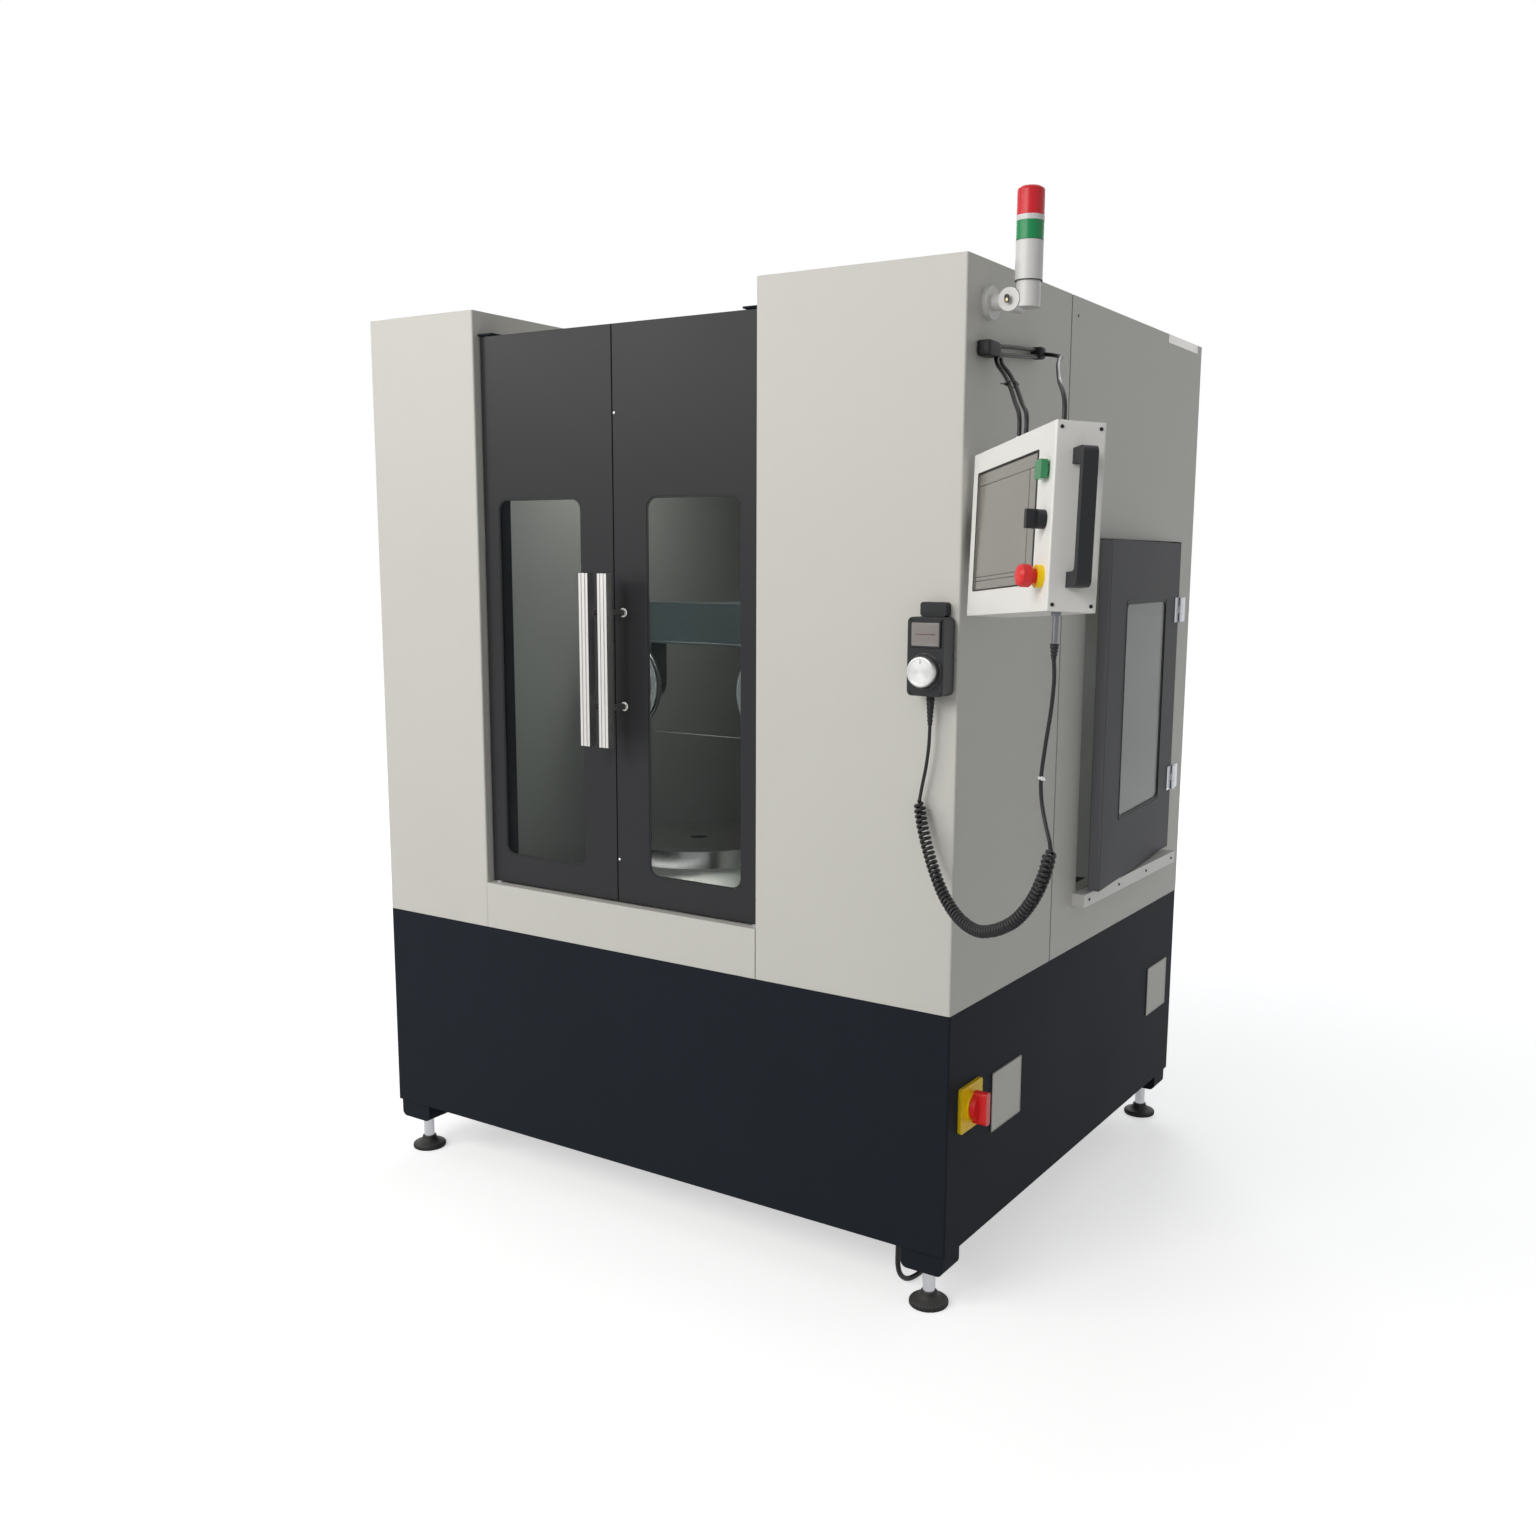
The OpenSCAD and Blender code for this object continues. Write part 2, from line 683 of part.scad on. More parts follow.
// Bar handle centred on x = 0, its posts ending on the leaf face at y = 0
module bar_handle() {
    groove = 2;
    translate([0, 0, handle_bottom]) linear_extrude(handle_l) difference() {
        translate([-handle_w / 2, -handle_out]) square([handle_w, handle_depth]);
        for (x = [-handle_w / 5, handle_w / 5])
            translate([x - groove / 2, -handle_out - 1]) square([groove, 1 + groove]);
    }
    for (k = [-1, 1])
        translate([0, 0, handle_bottom + handle_l / 2 + k * handle_post_pitch / 2])
            rod_y(handle_post_d, 1 - handle_out + handle_depth - 2, 0);
}

module at_left_pivot() translate([bay_left + pivot_side, pivot_y, leaf_bottom]) children();
module at_right_pivot() translate([bay_right - pivot_side, pivot_y, leaf_bottom])
    mirror([1, 0, 0]) children();

module left_door() color(dark_paint) at_left_pivot() leaf();
module right_door() color(dark_paint) at_right_pivot() leaf();
module left_glass() color(smoked) at_left_pivot() leaf_glass();
module right_glass() color(smoked) at_right_pivot() leaf_glass();
module left_handle() color(steel)
    translate([bay_mid - handle_pitch / 2, leaf_front, 0]) bar_handle();
module right_handle() color(steel)
    translate([bay_mid + handle_pitch / 2, leaf_front, 0]) bar_handle();

// ---------- side door: the hinge axis is at the origin, the leaf reaches to -Y ----------

side_face = -hinge_off;

module side_door() color(dark_paint) side_swing() difference() {
    block([side_face - side_leaf_t, side_gap - side_open_l, side_open_bottom + side_gap],
          [side_face, -side_gap, side_open_top - side_gap]);
    block([side_face - side_leaf_t - 1, side_gap - side_open_l + leaf_skin,
           side_open_bottom + side_gap + leaf_skin],
          [side_face - leaf_skin, -side_gap - leaf_skin, side_open_top - side_gap - leaf_skin]);
    plate_x(-side_window_start - side_window_l, -side_window_start, side_window_bottom,
            side_window_bottom + side_window_h, window_r, side_face - leaf_skin - 1, side_face + 1);
}

module side_glass() color(smoked) side_swing()
    plate_x(-side_window_start - side_window_l - glass_lap, -side_window_start + glass_lap,
            side_window_bottom - glass_lap, side_window_bottom + side_window_h + glass_lap,
            window_r, side_face - leaf_skin - glass_t, side_face - leaf_skin);

// Half a hinge: a plate that reaches to +Y, and knuckles at the given heights
module hinge_half(knuckles) {
    plate_edge = hinge_d / 2 + 0.6;
    block([side_face, plate_edge, -hinge_h / 2],
          [side_face + hinge_plate_t, plate_edge + hinge_plate_w, hinge_h / 2]);
    for (k = knuckles) {
        translate([0, 0, k[0]]) cylinder(d = hinge_d, h = k[1] - k[0]);
        block([side_face, 0, k[0]], [side_face + hinge_plate_t, plate_edge + 1, k[1]]);
    }
}

module side_hinge_frames() color(steel) for (z = hinge_heights) translate([hinge_x, hinge_y, z]) {
    third = hinge_h / 6;
    hinge_half([[-hinge_h / 2, -third], [third, hinge_h / 2]]);
    translate([0, 0, -hinge_h / 2]) cylinder(d = hinge_pin_d, h = hinge_h);
}

module side_hinge_leaves() color(steel) side_swing() for (z = hinge_heights)
    translate([0, 0, z]) difference() {
        third = hinge_h / 6;
        mirror([0, 1, 0]) hinge_half([[seat - third, third - seat]]);
        translate([0, 0, -third]) cylinder(d = hinge_pin_d + 2 * running, h = 2 * third);
    }

// ---------- isolator ----------

module at_isolator() translate([right_x, front_y + isolator_back, isolator_z]) children();

module isolator_plate() color([0.93, 0.80, 0.10]) at_isolator() difference() {
    union() {
        plate_x(-isolator_s / 2, isolator_s / 2, -isolator_s / 2, isolator_s / 2, 6, 0, 8);
        rod_x(62, 0, 14);
    }
    rod_x(16 + 2 * running, 2, 20);
}

module isolator_knob() color([0.85, 0.12, 0.12]) at_isolator() {
    rod_x(16, 2 + seat, 20);
    rod_x(54, 14 + seat, 26);
    plate_x(-9, 9, -34, 34, 6, 14 + seat, 44);
}

// ---------- signal tower ----------

module at_tower() translate([right_x, front_y + tower_back, tower_z]) children();

module tower_bracket() color(off_white) at_tower() difference() {
    union() {
        rod_x(60, 0, 12);
        rod_x(30, 0, knuckle_out - 8);
        translate([knuckle_out, 0, 0]) rod_y(knuckle_d, -22, -seat);
    }
    translate([knuckle_out, 0, 0]) rod_y(knuckle_d + 1, 0, 30);
}

module tower_elbow() color(off_white) at_tower() difference() {
    union() {
        translate([knuckle_out, 0, 0]) rod_y(knuckle_d - 2, seat, 22);
        translate([tube_out, 0, -14]) cylinder(d = tube_d - 6, h = 46);
    }
    translate([knuckle_out, 0, 0]) rod_y(knuckle_d + 1, -40, 0);
}

module tower_part(z0, z1) {
    at_tower() translate([tube_out, 0, z0 - tower_z]) cylinder(d = tube_d, h = z1 - z0);
}

tower_joints = [2005, 2074, 2112, 2166];

module tower_body() color(off_white) tower_part(tower_joints[0], tower_joints[1]);
module tower_green() color([0.10, 0.55, 0.32]) tower_part(tower_joints[1], tower_joints[2]);
module tower_red() color([0.82, 0.15, 0.20]) {
    tower_part(tower_joints[2], tower_joints[3] - 6);
    at_tower() translate([tube_out, 0, tower_joints[3] - 6 - tower_z]) rotate_extrude()
        polygon([[0, 0], [tube_d / 2, 0], [tube_d / 2 - 1, 3], [tube_d / 2 - 5, 6], [0, 6]]);
}

// ---------- screen box and its arm ----------

module screen_arm() color(anthracite) {
    half = boom_w / 2;
    fork_l = 42;
    low = arm_z + (knuckle_h - boom_h) / 2;
    high = low + boom_h;
    difference() {
        block([right_x, arm_y - half, low], [arm_x, arm_y + half, high]);
        block([right_x - 1, arm_y - half + 3, low + 3], [arm_x - fork_l - 4, arm_y + half - 3, high - 3]);
        block([arm_x - fork_l, arm_y - half - 1, arm_z], [arm_x + 1, arm_y + half + 1, arm_z + knuckle_h]);
    }
    plate_x(arm_y - 24, arm_y + 50, low - 20, high + 20, 6, right_x, right_x + 5);
    for (z = [[low, arm_z], [arm_z + knuckle_h, high]])
        translate([arm_x, arm_y, z[0]]) cylinder(d = knuckle_r * 2, h = z[1] - z[0]);
    translate([arm_x, arm_y, low]) cylinder(d = arm_pin_d, h = high - low);
}

module screen_yoke() color(anthracite) difference() {
    union() {
        translate([arm_x, arm_y, arm_z + seat]) cylinder(d = knuckle_r * 2, h = knuckle_h - 2 * seat);
        translate([screen_corner.x, screen_corner.y, arm_z + 6]) rotate([0, 0, screen_yaw])
            translate([pivot_along - 9, screen_t + 14, 0])
                cube([18, pivot_behind - 14, knuckle_h - 12]);
        in_screen() block([4, screen_t, 90], [90, screen_t + 18, 200]);
    }
    translate([arm_x, arm_y, arm_z - 1])
        cylinder(d = arm_pin_d + 2 * running, h = knuckle_h + 2);
}

module screen_box() color(off_white) in_screen() difference() {
    linear_extrude(screen_h) round_rect(0, screen_w, 0, screen_t, 3);
    block([shell_t, shell_t, shell_t], [screen_w - shell_t, screen_t - shell_t, screen_h - shell_t]);
    block([display_x, -1, display_z], [display_x + display_w, shell_t + 1, display_z + display_h]);
    for (z = control_z) translate([control_x, 0, z])
        rod_y(control_hole + 2 * running, -1, shell_t + 1);
}

module screen_glass() color(smoked) in_screen()
    block([display_x - 6, shell_t, display_z - 6],
          [display_x + display_w + 6, shell_t + 4, display_z + display_h + 6]);

module screen_handle() color(black) in_screen() translate([screen_w, screen_t / 2, 0])
    difference() {
        plate_y(-20, 48, 37, 249, 12, -12, 12);
        plate_y(-40, 34, 61, 225, 8, -13, 13);
        block([-40, -13, 0], [0, 13, screen_h]);
    }

module screen_glands() color(steel) in_screen() {
    translate([gland_low.x, gland_low.y, -gland_low_l]) cylinder(d = 10, h = gland_low_l);
    translate([gland_low.x, gland_low.y, -6]) cylinder(d = 16, h = 6);
    for (g = gland_top) translate([g.x, g.y, screen_h]) cylinder(d = gland_top_d, h = gland_top_h);
}

module start_button() color([0.05, 0.50, 0.25]) in_screen()
    translate([control_x, 0, control_z[0]]) {
        rod_y(control_hole, -6, 22);
        plate_y(-15, 15, -15, 15, 4, -15, -4);
    }

module selector_knob() color(black) in_screen() translate([control_x, 0, control_z[1]]) {
    rod_y(control_hole, -6, 22);
    rod_y(30, -14, -seat);
    plate_y(-6, 6, -15, 15, 3, -31, -13);
}

module estop_collar() color([0.88, 0.70, 0.05]) in_screen()
    translate([control_x, 0, control_z[2]]) difference() {
        rod_y(36, -10, 0);
        rod_y(control_hole + 2 * running, -11, 1);
    }

module estop_head() color([0.85, 0.12, 0.15]) in_screen()
    translate([control_x, 0, control_z[2]]) {
        rod_y(control_hole, -20, 22);
        translate([0, -16, 0]) rotate([90, 0, 0]) rotate_extrude() polygon([
            [0, 0], [14, 0], [18, 4], [18, 17], [15, 22], [9, 24], [0, 24]
        ]);
    }

module cable_boots() color(black) {
    for (b = [[boot_front, boot_front_s], [boot_rear, boot_rear_s]])
        translate(b[0]) plate_x(-b[1].y / 2, b[1].y / 2, -b[1].z / 2, b[1].z / 2, 6,
                                -b[1].x / 2, b[1].x / 2);
}

module screen_cables() color(black) {
    for (i = [0:2]) {
        landing = [
            for (rise = [cable_rise[i], 14, seat])
                screen_turn([gland_top[i].x, gland_top[i].y, screen_h + gland_top_h + rise])
        ];
        cord_tube(concat(cable_routes[i], landing), cable_d, 10, [1, -1, 0.3]);
    }
    for (r = link_routes) cord_tube(r, cable_d, 10, [0, 0, 1]);
}

// ---------- pendant ----------

pendant_x = right_x - pendant_in;
pendant_back = front_y - 5;
pendant_front = pendant_back - pendant_d;
pendant_top = pendant_z + pendant_h;

module pendant_hanger() color(black) translate([pendant_x, front_y, pendant_z]) {
    block([-22, -4, 20], [22, 0, pendant_h + 26]);
    plate_y(-27, 27, pendant_h + seat, pendant_h + 27, 6, -20, 0);
    block([-10, -14, 60], [10, -3, 68]);
    block([-10, -14, 60], [10, -9, 85]);
}

module pendant_body() color(black) translate([pendant_x, pendant_back, pendant_z]) difference() {
    union() {
        plate_y(-pendant_w / 2, pendant_w / 2, 0, pendant_h, 10, -pendant_d, 0);
        translate([0, 0, wheel_z]) rod_y(wheel_d + 8, -pendant_d - 2, -pendant_d + 1);
    }
    block([-11, -11, 30], [11, 1, 85 + seat]);
    translate([0, 0, wheel_z]) rod_y(6 + 2 * running, -pendant_d - 3, -pendant_d + 14);
}

module pendant_wheel() color(steel) translate([pendant_x, pendant_front, pendant_z + wheel_z]) {
    rod_y(6, -10, 12);
    rotate([90, 0, 0]) translate([0, 0, 3]) rotate_extrude() polygon([
        [0, 0], [wheel_d / 2 - 1, 0], [wheel_d / 2, 1], [wheel_d / 2, 15],
        [wheel_d / 2 - 3, 18], [0, 18]
    ]);
}

relief_l = pendant_z - lead_upper[0].z;

module pendant_relief() color(black) translate([pendant_x, lead_upper[0].y, pendant_z])
    mirror([0, 0, 1]) rotate_extrude() polygon([
        [0, 0], [9, 0], [9, 8], [7, 12], [7, relief_l - 16], [5, relief_l], [0, relief_l]
    ]);

// The straight lead, the curly stretch as one fat tube, and the lead up to the gland
module pendant_cord() color(black) {
    landing = [
        for (drop = [20, seat]) screen_turn([gland_low.x, gland_low.y, -gland_low_l - drop])
    ];
    across = [1, 1, 0];
    cord_tube(lead_upper, lead_d, 8, across);
    cord_tube(curl_route, curl_d, 12, across);
    cord_tube(concat(lead_lower, landing), lead_d, 8, across);
}

// ---------- supply cord ----------

module power_gland() color(black) translate([supply_gland.x, supply_gland.y, 0]) {
    translate([0, 0, skirt_bottom - 10]) cylinder(d = 28, h = 10, $fn = 6);
    translate([0, 0, supply_gland_end]) cylinder(d = 20, h = skirt_bottom + 20 - supply_gland_end);
    translate([0, 0, skirt_bottom + flange_t]) cylinder(d = 30, h = 8, $fn = 6);
}

module power_cord() color(black) {
    cord_tube(power_route, supply_d, 10, [0.6, 0.3, 1]);
    cord_tube(plug_route, supply_d, 10, [0, 0, 1]);
}

module power_coil() color(black) translate([coil_centre.x, coil_centre.y, 0])
    rotate_extrude() translate([coil_r - supply_d, 0])
        square([2 * supply_d, coil_rows * supply_d]);

module power_plug() color([0.75, 0.12, 0.10]) translate(plug_route[len(plug_route) - 1])
    rotate([0, 0, plug_axis]) {
        rod_x(24, 0, 22);
        rod_x(46, 20, 90);
        rod_x(62, 88, 140);
    }

// ---------- saw inside the cabinet ----------

module machine_frame() color(casting) difference() {
    union() {
        block([table_x - 270, front_y + 110, plinth_top], [table_x + 270, rear_y - 90, plinth_top + bed_h]);
        block([table_x - upright_w / 2, upright_front, plinth_top],
              [table_x + upright_w / 2, upright_front + upright_d, plinth_top + bed_h + upright_h]);
    }
    block([table_x - upright_w / 2 + 25, upright_front + 25, plinth_top + bed_h],
          [table_x + upright_w / 2 - 25, upright_front + upright_d - 25, plinth_top + bed_h + upright_h + 1]);
}

module guide_rails() color(steel) for (k = [-1, 1]) {
    x = table_x + k * rail_half;
    block([x - rail_w / 2, table_y - 195, plinth_top + bed_h], [x + rail_w / 2, table_y + 330, rail_top]);
    block([x - rail_w / 2, upright_front - rail_h, plinth_top + bed_h + 120],
          [x + rail_w / 2, upright_front, plinth_top + bed_h + upright_h - 20]);
}

module table_base() color(light_paint) difference() {
    union() {
        block([table_x - 150, table_y - 150, plinth_top + bed_h + 4],
              [table_x + 150, table_y + 150, housing_z]);
        translate([table_x, table_y, housing_z]) cylinder(d = table_d - 20, h = housing_h);
    }
    for (k = [-1, 1]) {
        x = table_x + k * rail_half;
        block([x - rail_w / 2 - running, table_y - 151, plinth_top + bed_h],
              [x + rail_w / 2 + running, table_y + 151, rail_top + running]);
    }
    translate([table_x, table_y, housing_z - 10])
        cylinder(d = 80 + 2 * running, h = housing_h + 20);
}

module rotary_table() color(steel) translate([table_x, table_y, 0]) difference() {
    union() {
        translate([0, 0, table_top - table_t]) cylinder(d = table_d, h = table_t);
        translate([0, 0, table_top - table_t - 45]) cylinder(d = 80, h = 46);
    }
    translate([0, 0, table_top - table_t - 50]) cylinder(d = table_bore, h = table_t + 60);
    for (k = [0:3]) rotate([0, 0, 45 + 90 * k]) translate([table_pcd / 2, 0, table_top - 25])
        cylinder(d = table_hole, h = 30);
}

module saw_head() color(casting) difference() {
    union() {
        block([table_x - wire_reach - arm_w / 2, beam_front, beam_z],
              [table_x + wire_reach + arm_w / 2, beam_front + beam_d, beam_z + beam_h]);
        block([table_x - 60, beam_front + beam_d - 1, beam_z],
              [table_x + 60, upright_front - rail_h - 8, beam_z + beam_h]);
        block([table_x - rail_half - 40, upright_front - rail_h - 30, beam_z - 120],
              [table_x + rail_half + 40, upright_front - 3, beam_z + 200]);
        for (k = [-1, 1]) {
            x = table_x + k * wire_reach;
            block([x - arm_w / 2, beam_front, wheel_centre_z],
                  [x + arm_w / 2, beam_front + beam_d, beam_z + 1]);
            translate([x, 0, wheel_centre_z]) rod_y(arm_w, beam_front, beam_front + beam_d);
        }
    }
    for (k = [-1, 1]) {
        translate([table_x + k * wire_reach, 0, wheel_centre_z])
            rod_y(spindle_d + 2 * running, beam_front - 1, beam_front + beam_d + 1);
        rail_x = table_x + k * rail_half;
        block([rail_x - rail_w / 2 - running, upright_front - rail_h - running, beam_z - 121],
              [rail_x + rail_w / 2 + running, upright_front, beam_z + 201]);
    }
}

module wire_motor() color(black) translate([table_x + wire_reach, beam_front + beam_d, wheel_centre_z]) {
    rod_y(84, 0, 12);
    rod_y(74, 10, 150);
}

// A turned wheel and its spindle on the Y axis, with the wire's groove round the rim
module wire_wheel() {
    groove_r = wire_wheel_d / 2;
    rim = groove_r + 4;
    difference() {
        union() {
            translate([0, wheel_w / 2, 0]) rotate([90, 0, 0]) rotate_extrude() polygon([
                [0, 0], [30, 0], [30, 7], [rim - 24, 7], [rim - 16, 2], [rim, 2],
                [rim, wheel_w / 2 - 2.5], [groove_r, wheel_w / 2 - 0.9],
                [groove_r, wheel_w / 2 + 0.9], [rim, wheel_w / 2 + 2.5],
                [rim, wheel_w - 2], [rim - 16, wheel_w - 2], [rim - 24, wheel_w - 7],
                [30, wheel_w - 7], [30, wheel_w], [0, wheel_w]
            ]);
            rod_y(spindle_d, 0, beam_front + beam_d - 1 - wheel_y);
        }
        for (k = [0:4]) rotate([0, 72 * k, 0]) translate([62, 0, 0]) rod_y(34, -wheel_w, wheel_w);
    }
}

module drive_wheel() color(steel) translate([table_x + wire_reach, wheel_y, wheel_centre_z]) wire_wheel();
module idler_wheel() color(steel) translate([table_x - wire_reach, wheel_y, wheel_centre_z]) wire_wheel();

module wire_loop() color(steel) translate([table_x, wheel_y, wheel_centre_z]) {
    r = wire_wheel_d / 2 + seat + wire_d / 2;
    for (k = [-1, 1]) {
        translate([k * wire_reach, 0, 0]) rotate([90, k * 90, 0]) rotate_extrude(angle = 180)
            translate([r, 0]) circle(d = wire_d);
        translate([0, 0, k * r]) rod_x(wire_d, -wire_reach, wire_reach);
    }
}

plinth();
left_column();
right_column();
side_panel();
rear_panel();
roof_panel();
front_sill();
door_frame();
door_pivots();
cover_plates();
side_hinge_frames();
side_ledge();
isolator_plate();
foot_pads();
foot_studs();
tower_bracket();
screen_arm();
cable_boots();
screen_cables();
pendant_hanger();
pendant_body();
pendant_relief();
pendant_cord();
power_gland();
power_cord();
power_coil();
power_plug();
machine_frame();
guide_rails();
left_door();
left_glass();
left_handle();
right_door();
right_glass();
right_handle();
side_door();
side_glass();
side_hinge_leaves();
isolator_knob();
tower_elbow();
tower_body();
tower_green();
tower_red();
screen_yoke();
screen_box();
screen_glass();
screen_handle();
screen_glands();
estop_collar();
start_button();
selector_knob();
estop_head();
pendant_wheel();
saw_head();
wire_motor();
wire_loop();
drive_wheel();
idler_wheel();
table_base();
rotary_table();
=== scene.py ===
# %% [markdown]
# # A wire saw machine
#
# The cabinet, its doors, the saw inside and every moving piece are a finished CAD
# model, loaded here as a fixed frame. This notebook gives each surface its
# finish and makes what is soft, thin or fine: cords, boots, seals, screws and marks.
# Everything is in metres, +Z up, with the origin on the floor under the cabinet.

# %% Load the frame
import json
import math

import bpy
import numpy as np
from mathutils import Matrix, Vector


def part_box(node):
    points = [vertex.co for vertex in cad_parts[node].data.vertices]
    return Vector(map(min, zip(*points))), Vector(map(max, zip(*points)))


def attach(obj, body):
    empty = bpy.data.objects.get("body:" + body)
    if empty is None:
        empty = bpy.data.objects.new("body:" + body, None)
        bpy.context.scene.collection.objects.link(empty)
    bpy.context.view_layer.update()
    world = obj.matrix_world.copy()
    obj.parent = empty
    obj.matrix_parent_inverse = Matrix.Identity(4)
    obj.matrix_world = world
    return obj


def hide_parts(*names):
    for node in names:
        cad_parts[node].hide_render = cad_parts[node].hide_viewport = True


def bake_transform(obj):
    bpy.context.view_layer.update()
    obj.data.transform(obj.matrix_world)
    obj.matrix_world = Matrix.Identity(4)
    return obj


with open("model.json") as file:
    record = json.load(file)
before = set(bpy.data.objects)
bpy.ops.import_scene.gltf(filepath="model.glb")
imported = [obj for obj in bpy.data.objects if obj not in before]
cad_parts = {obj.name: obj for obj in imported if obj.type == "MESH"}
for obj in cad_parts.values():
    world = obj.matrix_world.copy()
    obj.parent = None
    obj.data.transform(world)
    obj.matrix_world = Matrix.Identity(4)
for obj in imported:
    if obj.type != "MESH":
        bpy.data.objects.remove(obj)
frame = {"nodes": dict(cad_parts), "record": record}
scene = bpy.context.scene
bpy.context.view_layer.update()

# %% [markdown]
# ## The camera
#
# The camera stands ahead of the right corner, at a person's eye height, so both the
# doors and the right wall show. It could be aimed with a Track To constraint, but a
# matrix built from yaw, pitch and roll is exact and holds no helper. A small lens
# shift sets the machine in its place in the frame without turning the camera.

# %% Camera
view_yaw, view_pitch, view_roll = (math.radians(a) for a in (32.278, 9.02, 0.533))
eye = np.array([1.9963, -3.0653, 1.503])
forward = np.array([-math.sin(view_yaw) * math.cos(view_pitch),
                    math.cos(view_yaw) * math.cos(view_pitch), -math.sin(view_pitch)])
level = np.array([math.cos(view_yaw), math.sin(view_yaw), 0.0])
upward = np.cross(level, forward)
cos_roll, sin_roll = math.cos(view_roll), math.sin(view_roll)
rows = np.eye(4)
rows[:3, 0] = cos_roll * level + sin_roll * upward
rows[:3, 1] = -sin_roll * level + cos_roll * upward
rows[:3, 2] = -forward
rows[:3, 3] = eye

lens = bpy.data.cameras.new("studio_camera")
lens.sensor_width = 36.0
lens.lens = 33.65
lens.shift_x, lens.shift_y = -0.0331, 0.0134
lens.clip_end = 200.0
camera = bpy.data.objects.new("studio_camera", lens)
camera.matrix_world = Matrix(rows.tolist())
scene.collection.objects.link(camera)
scene.camera = camera
scene.view_settings.view_transform = "Standard"
print("camera at", eye, "lens", lens.lens)

# %% [markdown]
# ## Surfaces from formulas
#
# Every new piece is a grid of points: rows run along the piece and columns run round
# it. A turned knob, a tube, a moulded boot and a thin plate are then one kind of
# thing, a stack of closed rings, and one builder can close their ends. Building with
# primitives and modifiers would work too, but a formula keeps each size in sight.

# %% The ring builder
X, Y, Z = np.eye(3)


def run_of(line):
    """Length along a line at each of its points."""
    return np.concatenate([[0.0], np.cumsum(np.linalg.norm(np.diff(line, axis=0), axis=1))])


def ring_shell(name, rings, loop=False, sharp=40.0, lengths=None):
    """Mesh object from rings, an array (rows, columns, 3) of closed rings in order.

    Quads join each ring to the next, and column to column all the way round. With
    loop, the last ring joins the first. Else a fan closes each end at the mean of its
    ring. The faces are turned about if the enclosed volume, the sum of
    a . (b x c) / 6 over triangles, is negative. The UV map holds the length along
    the piece and the share of the way round.
    """
    n_rows, n_cols = rings.shape[:2]
    spans = n_rows if loop else n_rows - 1
    r, c = np.meshgrid(np.arange(spans), np.arange(n_cols), indexing="ij")
    below, side = (r + 1) % n_rows, (c + 1) % n_cols
    quads = np.stack([r * n_cols + c, r * n_cols + side, below * n_cols + side,
                      below * n_cols + c], axis=-1).reshape(-1, 4)
    if lengths is None:
        middles = rings.mean(axis=1)
        lengths = run_of(np.vstack([middles, middles[:1]]))
    u, v = lengths[np.stack([r, r, r + 1, r + 1], -1)], np.stack([c, c + 1, c + 1, c], -1) / n_cols
    quad_uv = np.stack([u, v], -1).reshape(-1, 2)
    points, faces, uv = rings.reshape(-1, 3), quads.tolist(), [quad_uv]
    triangles = np.concatenate([quads[:, [0, 1, 2]], quads[:, [0, 2, 3]]])
    if not loop:
        k = np.arange(n_cols)
        first, last = len(points), (n_rows - 1) * n_cols
        points = np.concatenate([points, rings[[0, -1]].mean(axis=1)])
        k1 = (k + 1) % n_cols
        fans = np.concatenate([np.stack([np.full(n_cols, first), k1, k], -1),
                               np.stack([np.full(n_cols, first + 1), last + k, last + k1], -1)])
        faces += fans.tolist()
        uv.append(np.zeros((len(fans) * 3, 2)))
        triangles = np.concatenate([triangles, fans])
    a, b, d = (points[triangles[:, i]] for i in range(3))
    mesh = bpy.data.meshes.new(name)
    mesh.from_pydata(points.tolist(), [], faces)
    layer = mesh.uv_layers.new(name="along_round")
    layer.data.foreach_set("uv", np.concatenate(uv).ravel().astype(np.float32))
    if (a * np.cross(b, d)).sum() < 0:
        mesh.flip_normals()
    mesh.polygons.foreach_set("use_smooth", np.ones(len(mesh.polygons), bool))
    mesh.set_sharp_from_angle(angle=math.radians(sharp))
    piece = bpy.data.objects.new(name, mesh)
    scene.collection.objects.link(piece)
    return piece


def unit(v):
    """v over its length, along the last axis."""
    v = np.asarray(v, float)
    return v / np.linalg.norm(v, axis=-1, keepdims=True)


def joined(name, pieces):
    """One object that holds all the pieces' meshes."""
    with bpy.context.temp_override(active_object=pieces[0], selected_editable_objects=pieces):
        bpy.ops.object.join()
    pieces[0].name = pieces[0].data.name = name
    return pieces[0]


def turned(name, profile, foot, axis, columns=48, crests=0, depth=0.0, **kw):
    """Lathe work: profile holds (radius, height) rows, set about the line from foot along axis.

    A point is foot + height * axis + radius * (cos t * a + sin t * b), where a and b
    are level with the axis and t runs once round. With crests, the radius also waves
    with the angle: less depth * (1 - cos(crests * t)) / 2, times the row's third value.
    """
    w = unit(axis)
    a = unit(np.cross(w, Z if abs(w[2]) < 0.9 else Y))
    b = np.cross(w, a)
    t = np.linspace(0, 2 * np.pi, columns, endpoint=False)
    profile = np.asarray(profile, float)
    radius = profile[:, :1] + np.zeros(columns)
    if crests:
        radius = radius - profile[:, 2:] * depth * 0.5 * (1 - np.cos(crests * t))
    spokes = np.cos(t)[:, None] * a + np.sin(t)[:, None] * b
    rings = np.asarray(foot) + profile[:, 1, None, None] * w + radius[..., None] * spokes
    return ring_shell(name, rings, **kw)


